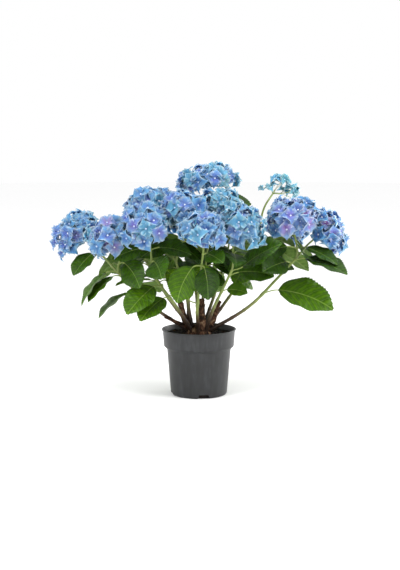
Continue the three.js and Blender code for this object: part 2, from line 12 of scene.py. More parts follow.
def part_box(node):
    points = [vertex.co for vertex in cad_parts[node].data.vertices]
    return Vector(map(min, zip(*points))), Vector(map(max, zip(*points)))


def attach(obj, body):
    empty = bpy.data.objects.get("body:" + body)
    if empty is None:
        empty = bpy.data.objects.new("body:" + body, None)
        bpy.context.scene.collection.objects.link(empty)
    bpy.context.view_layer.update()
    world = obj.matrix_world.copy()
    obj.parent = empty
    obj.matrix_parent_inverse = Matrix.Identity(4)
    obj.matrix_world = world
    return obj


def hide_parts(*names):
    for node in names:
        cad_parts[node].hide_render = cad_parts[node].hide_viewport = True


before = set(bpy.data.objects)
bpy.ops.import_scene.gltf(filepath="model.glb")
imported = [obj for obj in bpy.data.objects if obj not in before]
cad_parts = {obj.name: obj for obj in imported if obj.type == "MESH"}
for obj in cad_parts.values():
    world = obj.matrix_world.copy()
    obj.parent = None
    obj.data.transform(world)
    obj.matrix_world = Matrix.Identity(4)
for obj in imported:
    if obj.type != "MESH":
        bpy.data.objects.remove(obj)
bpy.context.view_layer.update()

# A mophead hydrangea in full bloom in its 19 cm nursery pot. Shapes are worked out in millimetres
# and written to their meshes in metres. The origin is the middle of the pot's underside, +X is the
# right of the show side and -Y is towards the viewer.
mm = 0.001

# The pot: black polypropylene, injection moulded in one piece, with a deep rim band, a step below
# it, a thin raised lip and four drain notches through its foot.
pot_rim_radius, _, pot_height = (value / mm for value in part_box("pot")[1])
band_foot_radius = pot_rim_radius - 5.5
band_foot_z = pot_height - 44
body_top_radius = pot_rim_radius - 13.6
body_top_z = pot_height - 52
body_foot_radius = pot_rim_radius - 23.3
foot_edge = 5
lip_height = 3
lip_stands_out = 2.4
lip_slope = 1
pot_wall = 1.5
pot_floor = 2.4
floor_fillet = 2
moulded_edge = 0.7
rounded_from = 12
pot_crease = 32
pot_segments = 96
notch_turn = -80
notch_count = 4
notch_foot_width = 32
notch_top_width = 24
notch_height = 10
notch_depth = 16
notch_clearance = 3


def linear(code):
    """The linear colour of an sRGB hex code."""
    shares = [int(code[i : i + 2], 16) / 255 for i in (1, 3, 5)]
    return [s / 12.92 if s <= 0.04045 else ((s + 0.055) / 1.055) ** 2.4 for s in shares] + [1.0]


def add_node(tree, kind, values):
    """Adds a node. A value sets a property or an input, or is what to link to that input."""
    node = tree.nodes.new("ShaderNode" + kind)
    for name, value in values.items():
        if isinstance(value, bpy.types.Node):
            value = value.outputs[0]
        if isinstance(value, bpy.types.NodeSocket):
            tree.links.new(value, node.inputs[name])
        elif isinstance(name, str) and hasattr(node, name):
            setattr(node, name, value)
        else:
            node.inputs[name].default_value = value
    return node


def set_ramp(node, *stops):
    """Gives a colour ramp its stops, each a place from 0 to 1 and a hex code."""
    ramp = node.color_ramp
    while len(ramp.elements) < len(stops):
        ramp.elements.new(0.5)
    for element, (place, code) in zip(ramp.elements, stops):
        element.position = place
        element.color = linear(code)


def new_finish(name):
    """A material with nothing in it yet, and add_node for its tree."""
    finish = bpy.data.materials.new(name)
    finish.use_nodes = True
    finish.node_tree.nodes.clear()
    return finish, partial(add_node, finish.node_tree)


def close_finish(add, values):
    """Ends a material with its shader."""
    add("OutputMaterial", {"Surface": add("BsdfPrincipled", values)})


def stand(name, data):
    """Puts a mesh, a light or a camera in the scene."""
    thing = bpy.data.objects.new(name, data)
    bpy.context.scene.collection.objects.link(thing)
    return thing


def add_piece(name, mesh, finishes, nodes):
    """Puts a finished mesh in the scene as a piece that stands for CAD nodes."""
    piece = stand(name, mesh)
    for finish in finishes:
        mesh.materials.append(finish)
    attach(piece, "root")
    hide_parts(*nodes)


def spun(profile, segments):
    """A body turned from (radius, height) points, which start and end on the axis."""
    turned = bmesh.new()
    corners = [turned.verts.new((r * mm, 0, z * mm)) for r, z in profile]
    edges = [turned.edges.new(pair) for pair in zip(corners, corners[1:])]
    turning = {"axis": (0, 0, 1), "cent": (0, 0, 0), "angle": tau, "use_merge": True}
    bmesh.ops.spin(turned, geom=corners + edges, steps=segments, **turning)
    bmesh.ops.remove_doubles(turned, verts=turned.verts, dist=0.01 * mm)
    bmesh.ops.recalc_face_normals(turned, faces=turned.faces)
    return turned


def mesh_of(shape, name):
    """A mesh made from a bmesh."""
    mesh = bpy.data.meshes.new(name)
    shape.to_mesh(mesh)
    return mesh


def modified(piece):
    """The mesh of a piece with its modifiers applied; the piece itself is removed."""
    graph = bpy.context.evaluated_depsgraph_get()
    mesh = bpy.data.meshes.new_from_object(piece.evaluated_get(graph))
    bpy.data.objects.remove(piece)
    return mesh


pot_profile = [
    (0, 0),
    (body_foot_radius - foot_edge, 0),
    (body_foot_radius - foot_edge / 4, foot_edge / 3),
    (body_foot_radius, foot_edge),
    (body_top_radius, body_top_z),
    (band_foot_radius, band_foot_z),
    (pot_rim_radius - lip_stands_out, pot_height - lip_height - lip_slope),
    (pot_rim_radius, pot_height - lip_height),
    (pot_rim_radius, pot_height),
    (pot_rim_radius - lip_stands_out - pot_wall, pot_height),
    (band_foot_radius - pot_wall, band_foot_z + pot_wall / 2),
    (body_top_radius - pot_wall, body_top_z + pot_wall / 2),
    (body_foot_radius - pot_wall, foot_edge),
    (body_foot_radius - pot_wall - floor_fillet, pot_floor),
    (0, pot_floor),
]
pot_shell = spun(pot_profile, pot_segments)
moulded = [
    edge
    for edge in pot_shell.edges
    if abs(edge.verts[0].co.z - edge.verts[1].co.z) < moulded_edge * mm / 10
    and edge.calc_face_angle(0) > radians(rounded_from)
]
rounding = {"affect": "EDGES", "segments": 2, "profile": 0.5, "material": -1, "clamp_overlap": True}
bmesh.ops.bevel(pot_shell, geom=moulded, offset=moulded_edge * mm, **rounding)
uncut_pot = stand("uncut_pot", mesh_of(pot_shell, "moulded_pot"))

notch_blocks = bmesh.new()
for i in range(notch_count):
    block = bmesh.ops.create_cube(notch_blocks, size=1)["verts"]
    for corner in block:
        low = corner.co.z < 0
        corner.co.y *= notch_foot_width if low else notch_top_width
        corner.co.x = body_foot_radius + notch_clearance + (corner.co.x - 0.5) * notch_depth
        corner.co.z = -notch_clearance if low else notch_height
    turn = radians(notch_turn + i * 360 / notch_count)
    bmesh.ops.scale(notch_blocks, vec=(mm, mm, mm), verts=block)
    rotation = Vector((1, 0, 0)).rotation_difference(Vector((cos(turn), sin(turn), 0)))
    bmesh.ops.rotate(notch_blocks, cent=(0, 0, 0), matrix=rotation.to_matrix(), verts=block)
bmesh.ops.recalc_face_normals(notch_blocks, faces=notch_blocks.faces)
notch_cutter = stand("notch_cutter", mesh_of(notch_blocks, "notch_blocks"))
cut = uncut_pot.modifiers.new("notches", "BOOLEAN")
cut.object = notch_cutter
cut.operation = "DIFFERENCE"
cut.solver = "EXACT"
pot_mesh = modified(uncut_pot)
bpy.data.objects.remove(notch_cutter)
pot_mesh.shade_smooth()
pot_mesh.set_sharp_from_angle(angle=radians(pot_crease))

# Moulded black polypropylene: a soft wide highlight over a very fine matt grain, a little dust that
# greys it in patches, and faint upright marks from wiping. The grain is drawn coarser than life.
plastic_grain = 1.6
dust_patch = 70
wipe_width = 9
wipe_stretch = 0.12
black_plastic, add = new_finish("satin_black_polypropylene")
place = add("TexCoord", {}).outputs["Object"]
patchy = {"Scale": 1 / (dust_patch * mm), "Detail": 4, "Roughness": 0.62}
dust = add("TexNoise", {**patchy, "Vector": place})
upright = add("Mapping", {"Scale": (1, 1, wipe_stretch), "Vector": place})
wipes = add("TexNoise", {"Scale": 1 / (wipe_width * mm), "Detail": 3, "Vector": upright})
grain = add("TexNoise", {"Scale": 1 / (plastic_grain * mm), "Detail": 2, "Vector": place})
marks = add("Math", {"operation": "MULTIPLY", 0: dust, 1: wipes})
greyed = add("ValToRGB", {"Fac": marks})
set_ramp(greyed, (0.12, "#121314"), (0.26, "#1b1c1e"), (0.44, "#2b2d2f"))
worn = add("MapRange", {"To Min": 0.36, "To Max": 0.5, "Value": wipes})
skin = add("Bump", {"Strength": 0.25, "Distance": 0.2 * mm, "Height": grain})
look = {"IOR": 1.49, "Specular IOR Level": 0.45}
close_finish(add, {**look, "Base Color": greyed, "Roughness": worn, "Normal": skin})
add_piece("moulded_pot", pot_mesh, [black_plastic], ["pot"])

# The soil: dark damp peat with crumbs and bits of bark, pressed a little below the rim and settled
# unevenly round the stock.
soil_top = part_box("soil")[1][2] / mm
soil_gap = 0.3
soil_slack = 1
soil_inside = pot_wall + soil_gap + soil_slack
soil_edge_fall = 2
soil_edge_width = 2
soil_least_ring = 1
soil_skin = 1
soil_ring_step = 3
soil_segments = 96
soil_relief = 3.2
soil_lump = 14
soil_roughness = (0.6, 2.2, 4)
crumb_count = 620
crumb_sizes = (1.2, 5.2)
crumb_margin = 4
crumb_rise = 0.6
crumb_knobs = 0.3
crumb_stretch = 2.4
crumb_flat = 0.8
bark_every = 5
seed_of_crumbs = 21

band_height = pot_height - lip_height - band_foot_z
band_slope = (pot_rim_radius - lip_stands_out - band_foot_radius) / band_height
soil_top_radius = band_foot_radius + band_slope * (soil_top - band_foot_z) - soil_inside
soil_profile = [
    (0, pot_floor + soil_gap),
    (body_foot_radius - soil_inside - floor_fillet, pot_floor + soil_gap),
    (body_foot_radius - soil_inside, foot_edge + soil_slack),
    (body_top_radius - soil_inside, body_top_z + soil_slack),
    (band_foot_radius - soil_inside, band_foot_z + 2 * soil_slack),
    (soil_top_radius, soil_top - soil_edge_fall),
]
soil_rings = np.arange(soil_top_radius - soil_edge_width, soil_least_ring, -soil_ring_step)
soil_profile += [(r, soil_top) for r in soil_rings]
soil_body = spun(soil_profile + [(0, soil_top)], soil_segments)
for corner in soil_body.verts:
    if corner.co.z > (soil_top - soil_skin) * mm:
        unevenness = noise.fractal(corner.co / (soil_lump * mm), *soil_roughness)
        corner.co.z += soil_relief * unevenness * mm
soil_mesh = mesh_of(soil_body, "peat")
soil_mesh.shade_smooth()


def chance(seed, count):
    """A steady number from 0 to 1 for a seed and a count, so that the plant always grows alike."""
    return sin(seed * 12.9898 + count * 78.233) * 43758.5453 % 1


def towards(turn, raised=0, length=1):
    """A vector towards a turn in plan, raised above level, both in degrees."""
    turn, raised = radians(turn), radians(raised)
    flat = cos(raised) * length
    return np.array([cos(turn) * flat, sin(turn) * flat, sin(raised) * length])


up = np.array([0, 0, 1.0])


def unit(vector):
    """The vector at length 1."""
    return vector / np.linalg.norm(vector)


def about_z(angle):
    """The matrix that turns points, one to a row, about Z."""
    return np.array([[cos(angle), sin(angle), 0], [-sin(angle), cos(angle), 0], [0, 0, 1]])


def small_ball(radius):
    """The points, faces and loop UVs of a ball of 20 faces."""
    ball = bmesh.new()
    bmesh.ops.create_icosphere(ball, subdivisions=1, radius=radius)
    faces = np.array([[v.index for v in f.verts] for f in ball.faces])
    return np.array([v.co for v in ball.verts]), faces, np.zeros((faces.size, 2))


# Faces that meet at a larger angle than this keep a sharp edge, so that the two sides of a thin
# petal or leaf are not shaded as one round rim.
thin_rim_angle = 75


class Gathered:
    """Many small shapes joined into one mesh. Each has points, faces of one size and loop UVs."""

    def __init__(self):
        self.points, self.faces, self.uvs, self.finishes, self.count = [], [], [], [], 0

    def add(self, points, skins):
        """skins are (faces, uvs of the loops, number of the finish) over the same points."""
        for faces, uvs, finish in skins:
            self.faces += (faces + self.count).tolist()
            self.uvs.append(uvs)
            self.finishes += [finish] * len(faces)
        self.points.append(points)
        self.count += len(points)

    def mesh(self, name, creased=True):
        made = bpy.data.meshes.new(name)
        made.from_pydata(np.concatenate(self.points) * mm, [], self.faces, shade_flat=False)
        made.polygons.foreach_set("material_index", self.finishes)
        made.uv_layers.new(name="growth")
        made.uv_layers[0].data.foreach_set("uv", np.concatenate(self.uvs).ravel())
        if creased:
            made.set_sharp_from_angle(angle=radians(thin_rim_angle))
        return made


chip_points, chip_faces, chip_uvs = small_ball(0.5)
crumbs = Gathered()
for k in range(crumb_count):
    size, turn, out, stretch = (chance(seed_of_crumbs, 4 * k + n) for n in range(4))
    size = crumb_sizes[0] + (crumb_sizes[1] - crumb_sizes[0]) * size**3
    radius = sqrt(out) * (soil_top_radius - crumb_margin)
    spot = towards(360 * turn, 0, radius) + [0, 0, soil_top + crumb_rise]
    knobs = [chance(seed_of_crumbs + k, n) for n in range(len(chip_points))]
    knobs = 1 + crumb_knobs * np.array(knobs)
    grown = chip_points * knobs[:, None] * size * [1 + crumb_stretch * stretch**4, 1, crumb_flat]
    turned = about_z(radians(360 * chance(seed_of_crumbs, -k)))
    crumbs.add(grown @ turned + spot, [(chip_faces, chip_uvs, k % bark_every == 0)])

# Damp peat: nearly black, dull, with brown fibres and specks in it. The crumbs are a shade lighter,
# and one in five is a bit of dry bark.
peat_fibre = 3.5
peat_lump = 9


def crumbly_finish(name, dark, light):
    """A dull finish that runs from dark to light in lumps, with a rough skin."""
    finish, add = new_finish(name)
    place = add("TexCoord", {}).outputs["Object"]
    coarse = {"Scale": 1 / (peat_lump * mm), "Detail": 8, "Roughness": 0.7}
    lumps = add("TexNoise", {**coarse, "Vector": place})
    fine = {"Scale": 1 / (peat_fibre * mm), "Detail": 4, "Distortion": 1.5}
    fibres = add("TexNoise", {**fine, "Vector": place})
    browned = add("ValToRGB", {"Fac": lumps})
    set_ramp(browned, (0.38, dark), (0.68, light))
    rough = add("Bump", {"Strength": 0.9, "Distance": 1.2 * mm, "Height": fibres})
    look = {"Roughness": 0.95, "IOR": 1.4, "Specular IOR Level": 0.3}
    close_finish(add, {**look, "Base Color": browned, "Normal": rough})
    return finish


damp_peat = crumbly_finish("damp_peat", "#080605", "#1c1510")
peat_crumb = crumbly_finish("peat_crumb", "#0e0b08", "#2a2019")
dry_bark_bit = crumbly_finish("dry_bark_bit", "#2a1d13", "#59432d")
add_piece("peat", soil_mesh, [damp_peat], ["soil"])
crumb_mesh = crumbs.mesh("peat_crumbs", creased=False)
add_piece("peat_crumbs", crumb_mesh, [peat_crumb, dry_bark_bit], ["soil"])

# The stock and its stubs: old wood at the foot of the shrub, a knuckled mound that carries the
# stumps of pruned stems, with fibrous bark that peels and frays at the cuts.
seat = 0.3
stock_radius = 31
stock_height = 24
stock_sides = 9
stock_levels = [(0, 1), (0.45, 0.88), (0.8, 0.62), (1, 0.3)]
stock_knuckle = 0.16
stub_foot_share = 0.35
stub_rise = 50
stub_swell = 0.2
stub_taper = 0.86
stub_rings = 14
stub_sides = 16
stub_voxel = 1.3
bark_plate = 5
bark_fibre = 1.1
bark_stretch = 0.22
bark_roughness = (0.8, 2, 4)
bark_depth = 1.8
plate_share = 0.8
fibre_share = 0.35
fray_length = 12
fray_depth = 4.2
bark_thick = 0.9
curve_steps = 201
off_axis = (0.31, 0.17, 0.93)
# A stub is its turn in plan, how far out its foot and its tip are, and its tip's height and radius.
stubs = [
    (188, 22, 50, 243, 7),
    (160, 16, 31, 246, 4),
    (-8, 20, 52, 244, 7.5),
    (197, 22, 92, 206, 3.2),
    (75, 18, 44, 228, 5),
    (290, 16, 20, 250, 7.5),
]


class Sweep:
    """A smooth curve that leaves one place in one direction and reaches another in a second."""

    def __init__(self, start, leaving, end, arriving):
        reach = np.linalg.norm(end - start) / 3
        self.poles = np.array([start, start + leaving * reach, end - arriving * reach, end])
        self.steps = np.linspace(0, 1, curve_steps)
        walked = np.linalg.norm(np.diff(self.point(self.steps), axis=0), axis=1)
        self.walked = np.concatenate([[0], np.cumsum(walked)])
        self.length = self.walked[-1]

    def point(self, t):
        t = np.asarray(t)[..., None]
        a, b, c, d = self.poles
        return (1 - t) ** 3 * a + 3 * (1 - t) ** 2 * t * b + 3 * (1 - t) * t**2 * c + t**3 * d

    def at(self, share):
        """The place at a share of the curve's length."""
        return self.point(np.interp(np.asarray(share) * self.length, self.walked, self.steps))


def tube(gather, path, radii, sides, finish=0, relief=None):
    """A limb through the points of a path, closed at both ends, with UVs round it and along it."""
    path = np.asarray(path, float)
    count = len(path)
    shares = np.linspace(0, 1, count)
    ways = np.gradient(path, axis=0)
    ways /= np.linalg.norm(ways, axis=1)[:, None]
    across = np.cross(ways[0], off_axis)
    angles = np.arange(sides) * tau / sides
    rings = []
    for k in range(count):
        across = unit(across - ways[k] * (across @ ways[k]))
        other = np.cross(ways[k], across)
        swell = radii[k] * (relief(shares[k], angles) if relief else np.ones(sides))
        ring = np.cos(angles)[:, None] * across + np.sin(angles)[:, None] * other
        rings.append(path[k] + ring * swell[:, None])
    points = np.concatenate(rings + [path[:1], path[-1:]])
    i = np.arange(sides)
    ahead = (i + 1) % sides
    starts = sides * np.arange(count - 1)[:, None, None]
    faces = (starts + np.stack([i, ahead, ahead + sides, i + sides], 1)).reshape(-1, 4)
    u = np.tile(np.stack([i, i + 1, i + 1, i], 1) / sides, (count - 1, 1))
    v = np.repeat(np.stack([shares[:-1], shares[:-1], shares[1:], shares[1:]], 1), sides, 0)
    walls = (faces, np.stack([u, v], 2).reshape(-1, 2), finish)
    foot_cap = np.stack([ahead, i, np.full(sides, count * sides)], 1)
    tip_cap = np.stack([i, ahead, np.full(sides, sides + 1)], 1) + (count - 1) * sides
    u = np.tile(np.stack([i, i + 1, i + 0.5], 1) / sides, (2, 1))
    v = np.repeat([shares[0], shares[-1]], sides * 3).reshape(-1, 3)
    caps = (np.concatenate([foot_cap, tip_cap]), np.stack([u, v], 2).reshape(-1, 2), finish)
    gather.add(points, [walls, caps])


def knuckled(share, angles):
    """The relief of the stock: a knuckle of its own on each side at each level."""
    sectors = [int(a * stock_sides / tau) for a in angles]
    knuckles = [chance(stock_sides, sector + stock_sides * share) for sector in sectors]
    return 1 + stock_knuckle * (np.array(knuckles) - 0.5)


def limb(gather, curve, rings, radii, sides, finish=0, relief=None):
    """A limb along a whole curve, which tapers from its first radius to its second."""
    stations = np.linspace(0, 1, rings)
    tube(gather, curve.at(stations), np.interp(stations, [0, 1], radii), sides, finish, relief)


stock_base = soil_top + seat
old_wood = Gathered()
mound_path = [[0, 0, stock_base + stock_height * share] for share, _ in stock_levels]
mound_radii = [stock_radius * width for _, width in stock_levels]
tube(old_wood, mound_path, mound_radii, 4 * stock_sides, relief=knuckled)
stub_tops = []
for i, (turn, out, tip_out, height, radius) in enumerate(stubs):
    foot, tip = towards(turn, 0, out), towards(turn, 0, tip_out)
    foot[2], tip[2] = stock_base + stock_height * stub_foot_share, height
    curve = Sweep(foot, towards(turn, stub_rise), tip, unit(tip - foot))
    foot_radius = radius * (1 + stub_swell * chance(len(stubs), i))
    limb(old_wood, curve, stub_rings, [foot_radius, radius * stub_taper], stub_sides)
    stub_tops.append(Vector(tip) * mm)

raw_stock = stand("raw_stock", old_wood.mesh("raw_stock"))
fuse = raw_stock.modifiers.new("fuse", "REMESH")
fuse.mode = "VOXEL"
fuse.voxel_size = stub_voxel * mm
stock_mesh = modified(raw_stock)
barked = bmesh.new()
barked.from_mesh(stock_mesh)
barked.normal_update()
moves = []
for corner in barked.verts:
    upright = Vector((corner.co.x, corner.co.y, corner.co.z * bark_stretch))
    plates = noise.fractal(upright / (bark_plate * mm), *bark_roughness)
    fibres = noise.noise(upright / (bark_fibre * mm))
    near_cut = max(0, 1 - min((corner.co - top).length for top in stub_tops) / (fray_length * mm))
    relief = bark_thick + bark_depth * (plate_share * plates + fibre_share * fibres)
    moves.append(corner.normal * (relief + fray_depth * near_cut * fibres) * mm)
for corner, move in zip(barked.verts, moves):
    corner.co += move
barked.to_mesh(stock_mesh)
stock_mesh.shade_smooth()

# Weathered bark: dull red-brown fibres over darker cracks, paler where it has peeled.
weathered_bark, add = new_finish("weathered_bark")
place = add("TexCoord", {}).outputs["Object"]
upright = add("Mapping", {"Scale": (1, 1, 0.2), "Vector": place})
fine = {"Scale": 1 / (bark_fibre * 2 * mm), "Detail": 6, "Roughness": 0.65}
fibres = add("TexNoise", {**fine, "Vector": upright})
patches = add("TexNoise", {"Scale": 1 / (bark_plate * 2.5 * mm), "Detail": 3, "Vector": place})
depth = add("Math", {"operation": "MULTIPLY_ADD", 0: fibres, 1: 0.6, 2: patches})
browned = add("ValToRGB", {"Fac": depth})
set_ramp(browned, (0.58, "#0d0806"), (0.74, "#2b1b10"), (0.88, "#54392a"), (1, "#8a7258"))
cracked = add("Bump", {"Strength": 0.8, "Distance": 0.6 * mm, "Height": fibres})
look = {"Roughness": 0.9, "IOR": 1.4, "Specular IOR Level": 0.3}
close_finish(add, {**look, "Base Color": browned, "Normal": cracked})
add_piece("barked_stock", stock_mesh, [weathered_bark], ["stock"])

# How the shrub has grown: where each bough's bare wood ends, where its green stem forks, and the
# shoots that carry the heads from that fork. Each shoot holds its head: the place of its middle,
# its radius, how flat it is, and how far it leans and which way.
Bough = namedtuple("Bough", "name rise foot tip fork leaves pairs shoots")
Shoot = namedtuple("Shoot", "name at radius flat lean turn leaves pairs")
# A pair of leaves is (share of the stem, turn of the first leaf, how far it hangs, blade length,
# twist of the second leaf). For a single leaf the last number is the roll of the blade about its
# own length.
boughs = [
    Bough("left", 34, 26, (-146, -34, 258), (-206, -44, 322),
        [(0.18, 208, 38, 100, 18), (0.4, 60, 20, 100), (0.86, 218, 40, 94, 8)], [], [
        Shoot("far_left", (-310, 4, 418), 64, 0.8, 48, 180,
            [(0.06, 202, 50, 106, 16), (0.25, 80, 24, 104),
             (0.74, 218, 44, 78, -14), (0.66, 110, 30, 84)], []),
        Shoot("low_left", (-226, -94, 421), 57, 0.85, 42, 205, [(0.4, 309, 34, 92)], []),
    ]),
    Bough("left_front", 55, 24, (-70, -56, 254), (-112, -84, 316),
        [(0.06, 232, 28, 102), (0.16, 326, -44, 96),
         (0.6, 226, 38, 104), (0.86, 100, 6, 104)], [], [
        Shoot("left_front", (-134, -136, 450), 66, 0.68, 28, 240,
            [(0.42, 284, 20, 94), (0.42, 134, 16, 96)], [(0.74, 10, 14, 84)]),
    ]),
    Bough("centre_left", 70, 14, (-34, -6, 262), (-58, -22, 345), [], [(0.75, 120, 22, 100, 26)], [
        Shoot("left_back", (-130, 2, 491), 65, 0.62, 20, 170,
            [], [(0.4, 174, 28, 95, 16), (0.75, 100, 18, 84, -8)]),
        Shoot("centre_left", (-36, -98, 488), 57, 0.72, 24, 265, [], [(0.5, 199, 24, 90, 34)]),
    ]),
    Bough("centre", 82, 4, (12, 12, 270), (20, 4, 370), [], [(0.6, 40, 20, 96, -50)], [
        Shoot("top", (22, 32, 555), 72, 0.52, 10, 180, [], [(0.4, 95, 16, 92), (0.74, 5, -4, 84)]),
        Shoot("middle", (55, -60, 492), 56, 0.7, 16, 300, [], [(0.55, 20, 16, 80, 66)]),
    ]),
    Bough("front", 74, 24, (-4, -62, 236), (4, -112, 330), [(0.1, 158, -52, 96)], [], [
        Shoot("front", (13, -188, 447), 56, 0.66, 26, 272,
            [(0.26, 212, 58, 98), (0.26, 290, 62, 84), (0.62, 300, 16, 70)], []),
    ]),
    Bough("right_front", 68, 24, (46, -46, 250), (84, -86, 336),
        [(0.3, 345, 4, 56), (0.8, 354, 2, 92), (0.95, 332, -28, 120)], [], [
        Shoot("right_front", (104, -140, 448), 57, 0.84, 35, 305, [], [(0.5, 70, 10, 84, 26)]),
    ]),
    Bough("right", 30, 26, (158, -34, 261), (248, -44, 360),
        [(0.06, 353, 15, 151), (0.6, 120, 4, 100), (0.86, 232, 14, 92), (0.93, 335, 17, 120)], [], [
        Shoot("right_inner", (233, -62, 462), 66, 0.72, 18, 230, [], [(0.42, 190, 20, 100, -40)]),
        Shoot("right_outer", (318, -14, 426), 60, 0.8, 48, 355,
            [(0.3, 275, 5, 78), (0.5, 80, 22, 96)], []),
    ]),
    Bough("right_back", 52, 25, (92, 66, 262), (148, 96, 340),
        [], [(0.62, 348, 2, 100, -32), (0.85, 60, 20, 110, 8)], [
        Shoot("young", (200, 84, 524), 50, 0.72, 34, 0,
            [], [(0.35, 200, 15, 96), (0.64, 196, -28, 84, -24)]),
        Shoot("back_far_right", (232, 160, 424), 55, 0.8, 44, 35,
            [], [(0.4, 0, 32, 108, -24), (0.75, 90, 28, 90)]),
    ]),
    Bough("left_back", 50, 25, (-92, 70, 258), (-138, 110, 330),
        [(0.3, 210, 6, 98), (0.3, 46, 20, 92)], [(0.85, 130, 20, 110, 46)], [
        Shoot("back_left", (-146, 152, 444), 59, 0.78, 30, 130,
            [], [(0.4, 170, 26, 98), (0.76, 80, 22, 88)]),
        Shoot("back_low_left", (-228, 158, 394), 50, 0.85, 48, 150, [], [(0.45, 200, 38, 100)]),
    ]),
    Bough("back", 60, 26, (-8, 92, 256), (-18, 142, 330),
        [(0.35, 60, 28, 116), (0.35, 266, 2, 101), (0.9, 150, 28, 112), (0.9, 300, 32, 105)], [], [
        Shoot("back", (-22, 238, 434), 61, 0.78, 44, 92,
            [], [(0.3, 70, 24, 108, 34), (0.68, 168, 26, 96, -8)]),
    ]),
    Bough("back_right", 62, 14, (44, 52, 262), (72, 98, 342),
        [(0.5, 36, 32, 92), (0.5, 256, 14, 86)], [], [
        Shoot("back_right", (100, 186, 442), 57, 0.76, 34, 60,
            [], [(0.35, 100, 28, 108, -8), (0.7, 10, 24, 92, 38)]),
    ]),
]

# The boughs: ripened canes that lean out of the stock, with thin grey-brown bark near the soil that
# turns green higher up, a ring of old leaf scars every few centimetres and small corky specks.
bough_foot_radius = 5.2
bough_tip_radius = 3.7
bough_foot_share = 0.4
bough_sides = 14
bough_step = 3
scar_gap = 38
scar_width = 2.2
scar_swell = 0.2
ridge_swell = 0.05
ridge_count = 3
ridge_length = 30


def cane_relief(length, seed):
    """The relief of a cane: low ridges along it and a swollen ring at each leaf scar."""
    scars = np.arange(scar_gap * (0.5 + 0.5 * chance(seed, 1)), length, scar_gap)

    def relief(share, angles):
        near = np.exp(-(((share * length - scars) / scar_width) ** 2)).sum()
        along = share * length / ridge_length + seed
        around = [(ridge_count * cos(a), ridge_count * sin(a)) for a in angles]
        ridges = [noise.noise((x, y, along)) for x, y in around]
        return 1 + scar_swell * near + ridge_swell * np.array(ridges)

    return relief


canes = Gathered()
for k, bough in enumerate(boughs):
    tip, fork = np.array(bough.tip, float), np.array(bough.fork, float)
    turn = degrees(atan2(tip[1], tip[0]))
    foot = towards(turn, 0, bough.foot)
    foot[2] = soil_top + stock_height * bough_foot_share
    wood = Sweep(foot, towards(turn, bough.rise), tip, unit(fork - tip))
    rings, radii = int(wood.length / bough_step), [bough_foot_radius, bough_tip_radius]
    limb(canes, wood, rings, radii, bough_sides, relief=cane_relief(wood.length, k))

# Ripening cane: brown papery bark at the soil that gives way to smooth olive and then leaf green,
# with tiny corky specks. The finish reads the share of the cane's length.
speck_gap = 3.2
cane_mottle = 7


def cane_finish(name, stops, specked):
    """A smooth finish with stops of colour along a stem, and specks as dark as told."""
    finish, add = new_finish(name)
    places = add("TexCoord", {}).outputs
    place, growth = places["Object"], add("SeparateXYZ", {0: places["UV"]}).outputs
    soft = {"Scale": 1 / (cane_mottle * mm), "Detail": 5, "Roughness": 0.6}
    mottle = add("TexNoise", {**soft, "Vector": place})
    blurred = add("Math", {"operation": "MULTIPLY_ADD", 0: mottle, 1: 0.5, 2: growth["Y"]})
    evened = add("Math", {"operation": "MULTIPLY", 0: blurred, 1: 2 / 3})
    ripened = add("ValToRGB", {"Fac": evened})
    set_ramp(ripened, *stops)
    cells = add("TexVoronoi", {"Scale": 1 / (speck_gap * mm), "Vector": place})
    small = {"From Min": 0.1, "From Max": 0.22, "To Min": specked, "To Max": 0}
    specks = add("MapRange", {**small, "Value": cells})
    tinted = add("Mix", {"data_type": "RGBA", 0: specks, 6: ripened, 7: linear("#5b4436")})
    rough = add("Bump", {"Strength": 0.35, "Distance": 0.3 * mm, "Height": mottle})
    look = {"Roughness": 0.55, "IOR": 1.45}
    close_finish(add, {**look, "Base Color": tinted.outputs[2], "Normal": rough})
    return finish


cane_stops = [(0.34, "#2c1d13"), (0.5, "#4a3924"), (0.66, "#66693a"), (0.8, "#7a8546")]
ripening_cane = cane_finish("ripening_cane", cane_stops, 0.7)
bough_nodes = ["bough_" + bough.name for bough in boughs]
add_piece("canes", canes.mesh("canes"), [ripening_cane], bough_nodes)

# The green stems: this year's growth, a stout stem that forks into the shoots that carry the heads.
# A joint swells where each pair of leaves stands, and each leaf has its own grooved stalk.
fork_radius = 2.9
shoot_radius = 2.7
shoot_tip_radius = 2.4
stem_sides = 12
stem_step = 3
fewest_rings = 6
joint_width = 4
joint_swell = 0.28
stalk_rise = 22
stalk_arch = 8
stalk_share = 0.27
stalk_radius = 1.75
stalk_taper = 0.8
stalk_base_swell = 0.7
stalk_base_share = 0.12
stalk_rings = 9
stalk_sides = 8
# How the leaves stand: the second of a pair hangs lower and is shorter, each is turned a little by
# chance, and those in front of back_from lean their upper side towards the show side.
leaf_bend = 26
second_hangs = 6
second_share = 0.94
turn_stray = 8
back_from = 90
show_side = 1.3
show_reach = 420
head_foot_share = 0.75
head_foot_drop = 8
seed_a_bough = 17
seed_a_shoot = 5
shoot_seed = 3
leaves_a_bough = 100
Spot = namedtuple("Spot", "at turn hangs length roll face seed")


